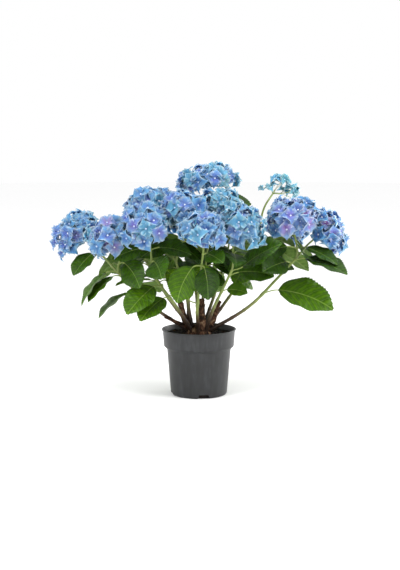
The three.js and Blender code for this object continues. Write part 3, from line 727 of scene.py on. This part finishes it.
def leaf_spots(curve, growth, seed, number):
    """The places of one stem's leaves, numbered on; the second of a pair faces the first."""
    rows = [(row + (0,))[:5] for row in growth.leaves]
    for row in growth.pairs:
        share, turn, hangs, length, twist = (row + (0,))[:5]
        facing = (share, turn + 180 + twist, abs(hangs) + second_hangs, length * second_share, 0)
        rows += [(share, turn, hangs, length, 0), facing]
    spots = []
    for k, (share, turn, hangs, length, roll) in enumerate(rows):
        at = curve.at(share)
        shown = -show_side * max(0, 1 - abs(at[0]) / show_reach) if at[1] < back_from else 0
        face = unit(unit(at * [1, 1, 0]) + [0, shown, 0])
        turn += turn_stray * (chance(seed, k) - 0.5)
        spots.append(Spot(at, turn, hangs, length, roll, face, number + k))
    return spots


def way_down(spot, below):
    """The way that a leaf runs where it hangs so many degrees below level."""
    return towards(spot.turn, -below)


def rise_of_stalk(spot):
    """How steeply a leaf's stalk rises, in degrees: less for a leaf that hangs."""
    return stalk_rise - max(spot.hangs, 0) / 2


def swollen_base(share, angles):
    """The relief of a leaf's stalk, stoutest where it joins the stem."""
    return np.full(len(angles), 1 + stalk_base_swell * exp(-((share / stalk_base_share) ** 2)))


def stalk_end(spot):
    """Where a leaf's stalk ends and its blade begins."""
    return spot.at + towards(spot.turn, rise_of_stalk(spot), spot.length * stalk_share)


def bloom_frame(bloom):
    """A head's centre, axis, two ways across it, its depth, and the foot of its stalk."""
    centre = np.array(bloom.at, float)
    axis = towards(bloom.turn, 90 - bloom.lean)
    u = towards(bloom.turn, -bloom.lean)
    depth = bloom.radius * bloom.flat
    foot = centre - axis * (depth * head_foot_share + head_foot_drop)
    return centre, axis, u, np.cross(axis, u), depth, foot


def add_stem(gather, curve, growth, radii):
    """A green stem along a curve, with a joint at its foot and at each of its leaves."""
    joints = curve.length * np.array([0] + [row[0] for row in growth.leaves + growth.pairs])

    def relief(share, angles):
        near = np.exp(-(((share * curve.length - joints) / joint_width) ** 2)).max()
        return np.full(len(angles), 1 + joint_swell * near)

    rings = max(fewest_rings, int(curve.length / stem_step))
    limb(gather, curve, rings, radii, stem_sides, relief=relief)


green_stems = Gathered()
leaves = []
for k, bough in enumerate(boughs):
    tip, fork = np.array(bough.tip, float), np.array(bough.fork, float)
    onward = unit(fork - tip)
    stem = Sweep(tip + onward * seat, onward, fork, onward)
    spots = leaf_spots(stem, bough, k * seed_a_bough, k * leaves_a_bough)
    add_stem(green_stems, stem, bough, [bough_tip_radius, fork_radius])
    for n, shoot in enumerate(bough.shoots):
        _, axis, _, _, _, foot = bloom_frame(shoot)
        last = foot - axis * seat
        way = unit(last - fork)
        curve = Sweep(fork - onward * shoot_tip_radius, unit(onward + way), last, axis)
        seed = k * seed_a_bough + n * seed_a_shoot + shoot_seed
        spots += leaf_spots(curve, shoot, seed, k * leaves_a_bough + len(spots))
        add_stem(green_stems, curve, shoot, [shoot_radius, shoot_tip_radius])
    leaves += spots

for spot in leaves:
    leaving = towards(spot.turn, rise_of_stalk(spot) + stalk_arch)
    arriving = way_down(spot, spot.hangs - leaf_bend / 2)
    curve = Sweep(spot.at, leaving, stalk_end(spot), arriving)
    radii = [stalk_radius, stalk_radius * stalk_taper]
    limb(green_stems, curve, stalk_rings, radii, stalk_sides, finish=1, relief=swollen_base)

# Green stem: smooth and sappy, paler than the leaves, flecked with tiny brown specks.
stem_stops = [(0.2, "#6c7a3c"), (0.5, "#6b7c38"), (0.85, "#7a8b42")]
green_stem = cane_finish("green_stem", stem_stops, 0.45)
stalk_stops = [(0.2, "#748540"), (0.6, "#849649"), (0.9, "#94a656")]
leaf_stalk = cane_finish("leaf_stalk", stalk_stops, 0.15)
foliage_nodes = ["foliage_" + bough.name for bough in boughs]

# The leaves: broad pointed blades with a saw-toothed margin. Veins run out from the midrib and
# curve forward, the blade swells a little between them, and the stalk runs on beneath as a raised
# rib.
leaf_width_share = 0.74
leaf_fold = 0.16
leaf_fold_curl = 0.15
leaf_broadest = 0.94
leaf_bluntness = (0.56, 0.22)
leaf_lean = 42
leaf_teeth = 20
tooth_stations = (0.02, 0.7)
tooth_depth = 0.06
tooth_reach = 0.35
blade_columns = 9
blade_thick = 0.6
most_along = 0.93
vein_pairs = 8
vein_slant = 0.5
vein_curve = 1.2
vein_swell = 0.03
vein_roundness = 0.7
margin_wave = 0.022
width_stray = 0.1
sweep_stray = 5
rib_share = 0.8
rib_radius = 1.3
rib_tip_radius = 0.35
rib_rings = 12
rib_sides = 6
# Painted shade: leaves whose middles stand above this height, give or take the stray, are dealt the
# two darker greens, and lower ones the two lighter greens.
painted_shade_height = 335
painted_shade_stray = 50
blade_middle = 0.6
leaf_tones = 4


def leaf_outline(share):
    """Half-width of a leaf along its length, as a share of its widest."""
    return np.sin(np.pi * share**leaf_broadest) ** (leaf_bluntness[0] + leaf_bluntness[1] * share)


def grid_faces(grid, tip):
    """The faces over a grid of point numbers, and those from its last row to a tip."""
    a, b, c, d = grid[:-1, :-1], grid[1:, :-1], grid[1:, 1:], grid[:-1, 1:]
    quads = np.stack([a.ravel(), b.ravel(), c.ravel(), d.ravel()], 1)
    tips = np.stack([grid[-1, :-1], np.full(grid.shape[1] - 1, tip), grid[-1, 1:]], 1)
    return quads, tips


tooth = np.arange(leaf_teeth)
blade_rows = np.sort(np.concatenate([(tooth + station) / leaf_teeth for station in tooth_stations]))
blade_notched = 1 - tooth_depth * (1 - np.arange(2 * leaf_teeth) % 2)
row_count = len(blade_rows)
upper = np.arange(row_count * blade_columns).reshape(row_count, blade_columns)
tip_index = upper.size
inner_count = (row_count - 1) * (blade_columns - 2)
lower = upper.copy()
lower[1:, 1:-1] = tip_index + 1 + np.arange(inner_count).reshape(row_count - 1, -1)
upper_faces = grid_faces(upper, tip_index)
lower_faces = [np.roll(faces[:, ::-1], 1, 1) for faces in grid_faces(lower, tip_index)]
across = np.linspace(0, 1, blade_columns)
blade_uv = np.zeros((tip_index + 1 + inner_count, 2))
from_midrib = leaf_width_share * leaf_outline(blade_rows)[:, None] * (across - 0.5)
for grid in (upper, lower):
    blade_uv[grid, 0], blade_uv[grid, 1] = 0.5 + from_midrib, blade_rows[:, None]
blade_uv[tip_index] = 0.5, 1


def blade_frames(spot, shares):
    """The midrib's places, the ways along it and the blade's upper side at each, from its foot."""
    start = radians(spot.hangs - leaf_bend / 2)
    bend = radians(leaf_bend)
    angles = start + bend * shares
    level = towards(spot.turn)
    reach = (np.sin(angles) - sin(start)) / bend
    fall = (np.cos(angles) - cos(start)) / bend
    places = reach[:, None] * level + fall[:, None] * up
    ways = np.cos(angles)[:, None] * level - np.sin(angles)[:, None] * up
    lean = radians(leaf_lean)
    facing = cos(lean) * up + sin(lean) * spot.face
    roll, axis = radians(spot.roll), way_down(spot, spot.hangs)
    facing = (
        facing * cos(roll)
        + np.cross(axis, facing) * sin(roll)
        + axis * (axis @ facing) * (1 - cos(roll))
    )
    top = facing if abs(facing @ axis) < most_along else up
    end = stalk_end(spot)
    for way in (unit(end - spot.at), axis):
        top = unit(top - way * (top @ way))
    tops = []
    for way in ways:
        top = unit(top - way * (top @ way))
        tops.append(top)
    return end + places * spot.length, ways, np.array(tops)


def add_leaf(gather, ribs, spot, tone):
    """A leaf's blade with its teeth, folds and swellings, and the rib under it."""
    seed, length = spot.seed, spot.length
    broad, swept, late, left_late, right_late = (chance(seed, n) for n in range(11, 16))
    places, ways, tops = blade_frames(spot, np.append(blade_rows, 1))
    sides = np.cross(tops, ways)
    rows = blade_rows[:, None]
    width = leaf_width_share * (1 + width_stray * (broad - 0.5))
    half = length * width * leaf_outline(blade_rows) / 2
    half = np.maximum(half * blade_notched, stalk_radius * stalk_taper)[:, None]
    curve = radians(sweep_stray) * (2 * swept - 1)
    aside = length * curve * rows**2
    u = 2 * across - 1
    spread = half * np.abs(u)
    off = spread / length
    veins = np.abs(np.sin(np.pi * vein_pairs * (rows - vein_slant * off - vein_curve * off**2)))
    inside = (1 - u**4) * np.minimum(1, 8 * (1 - rows))
    swell = vein_swell * length * veins**vein_roundness * inside * np.minimum(1, 3 * np.abs(u))
    phase = 2 * np.pi * (rows * (2 + late) + np.where(u < 0, left_late, right_late))
    wave = margin_wave * length * np.sin(phase) * u**2 * np.sin(np.pi * rows)
    fold = leaf_fold * spread ** (1 + leaf_fold_curl) / np.maximum(half, 1) ** leaf_fold_curl
    lift = fold + swell + wave
    forward = tooth_reach * length / leaf_teeth * (np.arange(row_count) % 2)
    forward = forward[:, None] * np.abs(u) ** 6
    top = (
        places[:-1, None]
        + sides[:-1, None] * (half * u + aside)[..., None]
        + tops[:-1, None] * lift[..., None]
        + ways[:-1, None] * forward[..., None]
    )
    tip = places[-1] + sides[-1] * length * curve
    under = top - tops[:-1, None] * blade_thick * (1 - u**6)[:, None]
    points = np.concatenate([top.reshape(-1, 3), [tip], under[1:, 1:-1].reshape(-1, 3)])
    skins = [(faces, blade_uv[faces.ravel()], tone) for faces in upper_faces]
    skins += [(faces, blade_uv[faces.ravel()], leaf_tones) for faces in lower_faces]
    gather.add(points, skins)
    reached = np.linspace(0, rib_share, rib_rings)
    spine, ways, rise = blade_frames(spot, reached)
    swerve = np.cross(rise, ways) * (length * curve * reached**2)[:, None]
    spine = spine + swerve - rise * blade_thick
    radii = np.interp(reached, [0, rib_share], [rib_radius, rib_tip_radius])
    tube(ribs, spine, radii, rib_sides, finish=1)


blades = Gathered()
for spot in leaves:
    middle = spot.at[2] - blade_middle * spot.length * sin(radians(spot.hangs))
    # Painted shade: a leaf high among the heads gets one of the two darker greens and a low one one
    # of the two lighter greens. Which of each two it gets is left to chance.
    low = middle + painted_shade_stray * chance(spot.seed, 1) < painted_shade_height
    add_leaf(blades, green_stems, spot, int(2 * low + 2 * chance(spot.seed, 2)))

# Leaf blade: leathery and half glossy, with pale sunken veins on a green that runs from nearly
# black to a fresh yellow green. The darker greens are painted shade, dealt to the leaves high in
# the shade of the heads, and the lighter ones to the lowest leaves. The underside is dull and
# greyer. The finishes read the blade's own UVs, v along it and u across.
vein_width = 0.075
midrib_width = 0.016
midrib_shown = 2.2
vein_sunk = 0.8
mesh_of_veins = 2.6
blade_mottle = 16
# How far the green is darkened along the sunken side veins and lightened on the swells between
# them: painted shade and painted light of the quilting.
furrow_painted_shade = 0.17
leaf_glow = (1 * mm, 2 * mm, 0.5 * mm)


def blade_finish(name, dark, light, vein, roughness, showing):
    """A leaf's finish, from dark to light in patches and with painted shade along its sunken veins,
    with veins that show more or less.
    """
    finish, add = new_finish(name)
    places = add("TexCoord", {}).outputs
    place, growth = places["Object"], add("SeparateXYZ", {0: places["UV"]}).outputs
    off = add("Math", {"operation": "SUBTRACT", 0: growth["X"], 1: 0.5})
    aside = add("Math", {"operation": "ABSOLUTE", 0: off})
    slant = add("Math", {"operation": "MULTIPLY_ADD", 0: aside, 1: -vein_slant, 2: growth["Y"]})
    bowed = add("Math", {"operation": "MULTIPLY", 0: aside, 1: aside})
    curved = add("Math", {"operation": "MULTIPLY_ADD", 0: bowed, 1: -vein_curve, 2: slant})
    count = add("Math", {"operation": "MULTIPLY", 0: curved, 1: vein_pairs})
    between = add("Math", {"operation": "PINGPONG", 0: count, 1: 0.5})
    lined = {"From Max": vein_width, "To Min": 1, "To Max": 0}
    side_veins = add("MapRange", {**lined, "Value": between})
    narrow = {"From Max": midrib_width, "To Min": midrib_shown, "To Max": 0}
    midrib = add("MapRange", {**narrow, "Value": aside})
    veins = add("Math", {"operation": "MAXIMUM", 0: side_veins, 1: midrib})
    shown = add("Math", {"operation": "MULTIPLY", 0: veins, 1: showing})
    soft = {"Scale": 1 / (blade_mottle * mm), "Detail": 5, "Roughness": 0.6}
    mottle = add("TexNoise", {**soft, "Vector": place})
    # Painted shade along the sunken side veins and painted light on the swells midway between them.
    deep = {"From Min": vein_width, "From Max": 0.5, "To Min": -furrow_painted_shade, "To Max": furrow_painted_shade}
    painted_furrow_shade = add("MapRange", {**deep, "Value": between})
    shaded = add("Math", {"operation": "ADD", 0: mottle, 1: painted_furrow_shade})
    greened = add("ValToRGB", {"Fac": shaded})
    set_ramp(greened, (0.32, dark), (0.7, light))
    tinted = add("Mix", {"data_type": "RGBA", 0: shown, 6: greened, 7: linear(vein)})
    net = {"feature": "DISTANCE_TO_EDGE", "Scale": 1 / (mesh_of_veins * mm), "Vector": place}
    cells = add("TexVoronoi", net)
    netted = add("Math", {"operation": "MULTIPLY_ADD", 0: veins, 1: -vein_sunk, 2: cells})
    quilted = add("Bump", {"Strength": 0.6, "Distance": 0.6 * mm, "Height": netted})
    look = {"Roughness": roughness, "IOR": 1.45, "Specular IOR Level": 0.2}
    glow = {"Subsurface Weight": 0.08, "Subsurface Radius": leaf_glow}
    close_finish(add, {**look, **glow, "Base Color": tinted.outputs[2], "Normal": quilted})
    return finish


# The first two greens are painted shade for the upper leaves, the next two the lit greens of the
# lower leaves, and the last is the underside.
blade_finishes = [
    blade_finish("leaf_shaded", "#182e06", "#2b4908", "#648438", 0.38, 0.28),
    blade_finish("leaf_deep_shaded", "#203b06", "#375a08", "#739242", 0.38, 0.3),
    blade_finish("leaf_full_lit", "#2c4c04", "#476b06", "#82a044", 0.4, 0.3),
    blade_finish("leaf_fresh_lit", "#3f6300", "#608502", "#96b246", 0.42, 0.3),
    blade_finish("leaf_underside", "#4e6a28", "#66823a", "#90a860", 0.7, 0.3),
]
add_piece("blades", blades.mesh("blades"), blade_finishes, foliage_nodes)
stem_mesh = green_stems.mesh("green_stems")
add_piece("green_stems", stem_mesh, [green_stem, leaf_stalk], foliage_nodes)

# The heads: each is a dome of four-petalled florets. A stout stalk splits into a few branches under
# the dome, and each floret stands on a thin stalk of its own, in its own cell of space between the
# heads.
head_sink = 0.3
head_spread = 108
head_drop = 3
florets_by_radius = 0.42
inner_florets = 0.6
inner_level = 0.72
seeds_a_head = 211
floret_radius = 30
floret_fits = [1.06, 0.96, 0.86, 0.76]
floret_stray = 0.2
floret_inset = 8
floret_stagger = 9
floret_tilt = 0.75
floret_lift = 0.9
floret_facing_up = 0.64
floret_variants = 6
floret_seed = 70
draws_a_petal = 9
florets_a_piece = 480
floret_side = (0.37, 0.51, 0.77)
golden_turn = pi * (3 - sqrt(5))
cell_give = 6
# The half-open young head is drawn floret by floret: where each stands from the head's middle, the
# last of them the small one that stands alone at its left.
young_places = [
    (2, -4, 30), (23, -8, 27), (31, 10, 12), (-12, -12, 8), (14, 22, 20),
    (46, -10, -2), (54, 12, 2), (46, -18, -20), (24, 26, -4), (-38, -10, 6),
]
young_dip = 26
young_share = 0.8
lone_share = 0.5
# A petal: rows of points along it, its outline (how far out it is broadest and how it narrows), and
# how it cups, droops, folds and ruffles, all as shares of a floret's radius.
petal_rows = [0.15, 0.34, 0.54, 0.73, 0.89]
petal_columns = 3
petal_half_width = 0.52
petal_broadest = 0.56
petal_narrowing = 1.9
petal_cup = 0.2
petal_cup_waves = 0.62
petal_droop = 0.42
petal_droop_least = 0.6
petal_fold = 0.16
petal_fold_curl = 1.4
petal_ruffle = 0.15
petal_ruffle_waves = 1.3
petal_bow = 0.05
petal_thick = 0.022
petal_overlap = 0.035
petal_length_stray = 0.12
petal_width_stray = 0.16
petal_turn_stray = 0.12
bead_radius = 0.085
bead_flat = 0.8
bead_rise = 0.05
floret_hollow = 0.04
head_stalk_rings = 8
head_stalk_sides = 10
branch_count = 6
branch_reach = 0.5
branch_lean = 0.75
branch_height = 0.55
branch_foot_radius = 2
branch_radius = 1.3
branch_rings = 6
branch_sides = 8
pedicel_radius = 0.65
pedicel_rings = 5
pedicel_sides = 5
# Each shade of petal by its letter: its name, and its colour at the floret's heart, over the petal
# and at its rim. Each head deals its florets out among its own shades.
petal_shades = {
    "s": ("sky", "#3c5e9a", "#4e7ca7", "#96b8d2"),
    "p": ("periwinkle", "#4a5aa0", "#5377a9", "#9ab6d4"),
    "l": ("lavender", "#605aa2", "#5876a9", "#9cb8d4"),
    "r": ("rosy", "#7c589e", "#6078a8", "#a4b8d4"),
    "t": ("turquoise", "#3c7296", "#4d82a1", "#94bccc"),
    "m": ("mint", "#608892", "#5688a2", "#9cc2cc"),
    "T": ("teal", "#3c7486", "#528a98", "#9cc6c8"),
    "d": ("deep", "#34528e", "#4276a4", "#82aace"),
}
head_shades = {
    "far_left": "sspppddlt",
    "low_left": "sspplrrt",
    "left_front": "sssplrtd",
    "left_back": "ssslstp",
    "centre_left": "ssddppt",
    "top": "sssttddmp",
    "middle": "tttmmss",
    "front": "sssddpt",
    "right_front": "sssttmp",
    "right_inner": "ppllrsd",
    "right_outer": "sssppdlr",
    "young": "TTTmt",
    "back_far_right": "ssplt",
    "back_left": "sspdlt",
    "back_low_left": "splrt",
    "back": "sssdptm",
    "back_right": "sstmpd",
}

# A petal's points are its heart, a grid of rows, its tip and a rib under the middle of each row.
# The upper skin covers the grid, and the coarser lower one runs from rim to rib to rim.
petal_tip = 1 + len(petal_rows) * petal_columns
grid = np.arange(1, petal_tip).reshape(-1, petal_columns)
ribs = petal_tip + 1 + np.arange(len(petal_rows))
left, right = grid[:, 0], grid[:, -1]
upper_quads, upper_tips = grid_faces(grid, petal_tip)
left_quads = np.stack([left[:-1], ribs[:-1], ribs[1:], left[1:]], 1)
right_quads = np.stack([ribs[:-1], right[:-1], right[1:], ribs[1:]], 1)
petal_quads = np.concatenate([upper_quads, left_quads, right_quads])
upper_heart = np.stack([grid[0, 1:], grid[0, :-1], np.zeros(petal_columns - 1, int)], 1)
lower_heart = [[0, ribs[0], left[0]], [0, right[0], ribs[0]]]
lower_tips = [[left[-1], ribs[-1], petal_tip], [ribs[-1], right[-1], petal_tip]]
petal_tips = np.concatenate([upper_heart, upper_tips, lower_heart, lower_tips])
petal_uv = np.full((petal_tip + 1 + len(petal_rows), 2), 0.5)
petal_uv[0, 1], petal_uv[petal_tip, 1], petal_uv[ribs, 1] = 0, 1, petal_rows
petal_uv[grid, 0] = np.linspace(0, 1, petal_columns)
petal_uv[grid, 1] = np.array(petal_rows)[:, None]
floret_quads = np.concatenate([petal_quads + n * len(petal_uv) for n in range(4)])
floret_tips = np.concatenate([petal_tips + n * len(petal_uv) for n in range(4)])
floret_uv = np.tile(petal_uv, (4, 1))


def make_floret(variant):
    """The points of a floret of radius 1 about the origin that faces +Z."""
    rows = np.array(petal_rows)[:, None]
    u = np.linspace(-1, 1, petal_columns)[None]
    petals = []
    for petal in range(4):
        stray = [chance(floret_seed + variant, petal * draws_a_petal + n) for n in range(7)]
        layer = petal_overlap * (petal % 2)
        long = 1 - petal_length_stray * stray[1]
        half = petal_half_width * (1 + petal_width_stray * (stray[2] - 0.5))
        half = half * np.sin(np.pi * rows**petal_broadest) ** petal_narrowing
        droop = petal_droop_least + stray[3]
        rise = petal_cup * np.sin(np.pi * rows * petal_cup_waves) - petal_droop * rows**3 * droop
        fold = petal_fold * np.abs(u) ** petal_fold_curl * half / petal_half_width
        waves = rows * petal_ruffle_waves + stray[4] + 0.5 * (u > 0) * stray[5]
        ruffle = petal_ruffle * u**2 * np.sin(2 * np.pi * waves)
        z = rise + fold + ruffle + layer
        sheet = np.stack([rows * long - petal_bow * u**2 * half, half * u, z], 2)
        end = [long, 0, petal_cup * sin(pi * petal_cup_waves) - petal_droop * droop + layer]
        under = sheet[:, petal_columns // 2] - [0, 0, petal_thick * 2]
        shape = np.concatenate([[[0, 0, layer]], sheet.reshape(-1, 3), [end], under])
        petals.append(shape @ about_z(petal * pi / 2 + petal_turn_stray * (stray[6] - 0.5)))
    return np.concatenate(petals)


bead_points, bead_faces, bead_uvs = small_ball(bead_radius)
bead_points = bead_points * [1, 1, bead_flat] + [0, 0, bead_rise]
florets = [make_floret(n) for n in range(floret_variants)]
blooms = [shoot for bough in boughs for shoot in bough.shoots]
blade_mesh = bpy.data.objects["blades"].data
leaf_tree = BVHTree.FromPolygons(
    [v.co / mm for v in blade_mesh.vertices], [tuple(p.vertices) for p in blade_mesh.polygons]
)


def keeps_to_cell(points, bloom):
    """True if points lie nearer to this head than to any other, by their sizes."""
    own = np.array(bloom.at, float)
    for other in blooms:
        if other is bloom:
            continue
        its = np.array(other.at, float)
        to_own = ((points - own) ** 2).sum(1) - bloom.radius**2
        to_its = ((points - its) ** 2).sum(1) - other.radius**2
        if ((to_its - to_own) / (2 * np.linalg.norm(own - its)) < -cell_give).any():
            return False
    return True


def clear_of_leaves(centre, ends):
    """True if no leaf stands between a floret's centre and the tips of its petals."""
    for end in ends:
        way = Vector(end - centre)
        if leaf_tree.ray_cast(Vector(centre), way.normalized(), way.length)[0]:
            return False
    return True


petals, beads, flower_stalks = [Gathered()], Gathered(), Gathered()
floret_total = 0
lowest = cos(radians(head_spread))
for k, bloom in enumerate(blooms):
    centre, axis, across_u, across_v, depth, foot = bloom_frame(bloom)
    heart = centre - axis * depth * head_sink
    young = bloom.name == "young"
    outer = len(young_places) if young else int(florets_by_radius * bloom.radius)
    inner = 0 if young else int(inner_florets * outer)
    tones = [list(petal_shades).index(letter) for letter in head_shades[bloom.name]]
    placed = []
    for i in range(outer + inner):
        seed = k * seeds_a_head + i
        within = i >= outer
        order = (i - outer + 0.5) / inner if within else (i + 0.5) / outer
        height = min(1, 1 - order * (1 - lowest) + floret_stray * (chance(seed, 1) - 0.5))
        around = i * golden_turn + k + floret_stray * 2 * (chance(seed, 2) - 0.5)
        level = sqrt(max(0, 1 - height**2))
        way = level * (cos(around) * across_u + sin(around) * across_v)
        reach = inner_level if within else 1
        at = way * (bloom.radius - floret_inset) + axis * height * (depth - floret_inset)
        normal = unit((way / bloom.radius + axis * height / depth) * [1, 1, floret_facing_up])
        stagger = normal * floret_stagger * (2 * chance(seed, 3) - 1)
        at = centre + reach * at + stagger - [0, 0, head_drop]
        if young:
            at = centre + young_places[i]
            normal = unit(at - centre + [0, -young_dip / 2, young_dip])
        normal = unit(normal + floret_lift * max(0, -normal[2]) * up)
        tilt_u, tilt_v = (floret_tilt * (chance(seed, n) - 0.5) for n in (4, 5))
        normal = unit(normal + across_u * tilt_u + across_v * tilt_v)
        side = unit(np.cross(normal, floret_side))
        roll = tau * chance(seed, 6)
        side = cos(roll) * side + sin(roll) * np.cross(normal, side)
        turn = np.array([side, np.cross(normal, side), normal])
        points = florets[int(floret_variants * chance(seed, 7))]
        for fit in floret_fits:
            size = floret_radius * fit * (young_share if young else 1)
            size *= lone_share if young and i == outer - 1 else 1
            grown = points @ turn * size + at
            if keeps_to_cell(grown, bloom) and clear_of_leaves(at, grown[floret_uv[:, 1] == 1]):
                break
        else:
            continue
        placed.append(at - normal * size * floret_hollow)
        tone = tones[int(len(tones) * chance(seed, 8))]
        if floret_total and floret_total % florets_a_piece == 0:
            petals.append(Gathered())
        floret_total += 1
        skins = [(faces, floret_uv[faces.ravel()], tone) for faces in (floret_quads, floret_tips)]
        petals[-1].add(grown, skins)
        beads.add(bead_points @ turn * size + at, [(bead_faces, bead_uvs, 0)])
    stalk = Sweep(foot - axis * seat, axis, heart, axis)
    limb(flower_stalks, stalk, head_stalk_rings, [shoot_tip_radius] * 2, head_stalk_sides)
    branches = []
    for n in range(branch_count):
        around = n * tau / branch_count + k
        out = cos(around) * across_u + sin(around) * across_v
        lean = branch_lean * (n > 0)
        end = heart + (out * lean * bloom.radius + axis * branch_height * depth) * branch_reach
        branches.append(end)
        branch = Sweep(heart - axis, unit(axis + out * lean), end, unit(end - heart))
        limb(flower_stalks, branch, branch_rings, [branch_foot_radius, branch_radius], branch_sides)
    for spot in placed:
        start = min(branches, key=lambda end: np.linalg.norm(spot - end))
        arriving = unit(spot - heart)
        pedicel = Sweep(start, unit(start - heart + arriving), spot, arriving)
        limb(flower_stalks, pedicel, pedicel_rings, [pedicel_radius] * 2, pedicel_sides)

# Petals: thin and soft, with fine lengthwise veins, a deeper colour at the heart of each floret and
# a pale rim. Light passes through them a little. The finishes read each petal's own UVs, v from the
# floret's heart to the petal's tip.
petal_vein = 26
petal_mottle = 6
petal_cast = "#6a9ab2"
petal_cast_patch = 32
petal_glow = (3 * mm, 4 * mm, 5 * mm)


def petal_finish(name, heart, body, rim):
    """A petal's finish in the three colours of its shade."""
    finish, add = new_finish(name)
    places = add("TexCoord", {}).outputs
    place, growth = places["Object"], add("SeparateXYZ", {0: places["UV"]}).outputs
    graded = add("ValToRGB", {"Fac": growth["Y"]})
    set_ramp(graded, (0.12, heart), (0.55, body), (0.82, body), (1, rim))
    off = add("Math", {"operation": "MULTIPLY_ADD", 0: growth["X"], 1: 2, 2: -1})
    aside = add("Math", {"operation": "ABSOLUTE", 0: off})
    rimmed = add("MapRange", {"From Min": 0.5, "From Max": 1, "To Max": 0.7, "Value": aside})
    paled = add("Mix", {"data_type": "RGBA", 0: rimmed, 6: graded, 7: linear(rim)})
    stretched = add("Mapping", {"Scale": (petal_vein, 1.5, 1), "Vector": places["UV"]})
    veins = add("TexNoise", {"Scale": 1, "Detail": 2, "Vector": stretched})
    mottle = add("TexNoise", {"Scale": 1 / (petal_mottle * mm), "Detail": 3, "Vector": place})
    shade = add("MapRange", {"From Min": 0.35, "From Max": 0.65, "To Max": 0.16, "Value": mottle})
    tinted = add("Mix", {"data_type": "RGBA", 0: shade, 6: paled.outputs[2], 7: linear(heart)})
    drift = add("TexNoise", {"Scale": 1 / (petal_cast_patch * mm), "Detail": 1, "Vector": place})
    cast = add("MapRange", {"From Min": 0.42, "From Max": 0.7, "To Max": 0.4, "Value": drift})
    hued = add("Mix", {"data_type": "RGBA", 0: cast, 6: tinted.outputs[2], 7: linear(petal_cast)})
    ribbed = add("Bump", {"Strength": 0.3, "Distance": 0.3 * mm, "Height": veins})
    look = {"Roughness": 0.65, "IOR": 1.4, "Specular IOR Level": 0.3}
    glow = {"Subsurface Weight": 0.75, "Subsurface Scale": 1.0, "Subsurface Radius": petal_glow}
    close_finish(add, {**look, **glow, "Base Color": hued.outputs[2], "Normal": ribbed})
    return finish


petal_finishes = [petal_finish("petal_" + name, *hues) for name, *hues in petal_shades.values()]
bead_white = crumbly_finish("floret_bead", "#9fb4e0", "#eef0e6")
flower_stops = [(0.2, "#8c9c58"), (0.6, "#a3b270"), (0.9, "#b9c690")]
young_stalk = cane_finish("flower_stalk", flower_stops, 0.1)
bloom_nodes = ["bloom_" + bloom.name for bloom in blooms]
for n, gathered in enumerate(petals):
    name = f"petals_{n + 1}"
    add_piece(name, gathered.mesh(name), petal_finishes, bloom_nodes)
add_piece("floret_beads", beads.mesh("floret_beads"), [bead_white], bloom_nodes)
add_piece("flower_stalks", flower_stalks.mesh("flower_stalks"), [young_stalk], bloom_nodes)

# The place it stands in: a pale matt floor under soft light from two sides and from above, and a
# camera a little above the rim of the pot, as far away as a buyer would stand.
floor_radius = 9
floor_drop = 0.5
floor_segments = 96
floor = bmesh.new()
bmesh.ops.create_circle(floor, cap_ends=True, radius=floor_radius, segments=floor_segments)
bmesh.ops.translate(floor, verts=floor.verts, vec=(0, 0, -floor_drop * mm))
floor_piece = stand("floor", mesh_of(floor, "floor"))
matt_white, add = new_finish("matt_white_floor")
close_finish(add, {"Base Color": linear("#fbfbfb"), "Roughness": 0.9, "Specular IOR Level": 0.2})
floor_piece.data.materials.append(matt_white)

world = bpy.data.worlds.new("studio")
world.use_nodes = True
world.node_tree.nodes["Background"].inputs["Color"].default_value = linear("#ffffff")
world.node_tree.nodes["Background"].inputs["Strength"].default_value = 1.0
bpy.context.scene.world = world
crown_middle = Vector((0, 0, 0.36))
# Each softbox: its place, its size across and its watts.
softboxes = {
    "left_softbox": ((-1.9, -1.6, 1.5), 1.3, 34),
    "right_softbox": ((2.2, -1.2, 1.3), 1.3, 44),
    "top_softbox": ((0.1, -0.5, 2.5), 1.8, 42),
    "low_softbox": ((1.9, 1.1, 0.4), 1.2, 24),
}
for name, (place, size, watts) in softboxes.items():
    light = bpy.data.lights.new(name, "AREA")
    light.size = size
    light.energy = watts
    box = stand(name, light)
    box.location = place
    box.rotation_euler = (crown_middle - Vector(place)).to_track_quat("-Z", "Y").to_euler()

focal_length = 86.5
film_width = 36
camera_place = (0.0028, -3.5, 0.764)
camera_tilt = 82.2
lens = bpy.data.cameras.new("show_side")
lens.lens = focal_length
lens.sensor_width = film_width
camera = stand("show_side", lens)
camera.location = camera_place
camera.rotation_euler = (radians(camera_tilt), 0, 0)
bpy.context.scene.camera = camera
bpy.context.scene.view_settings.view_transform = "Standard"
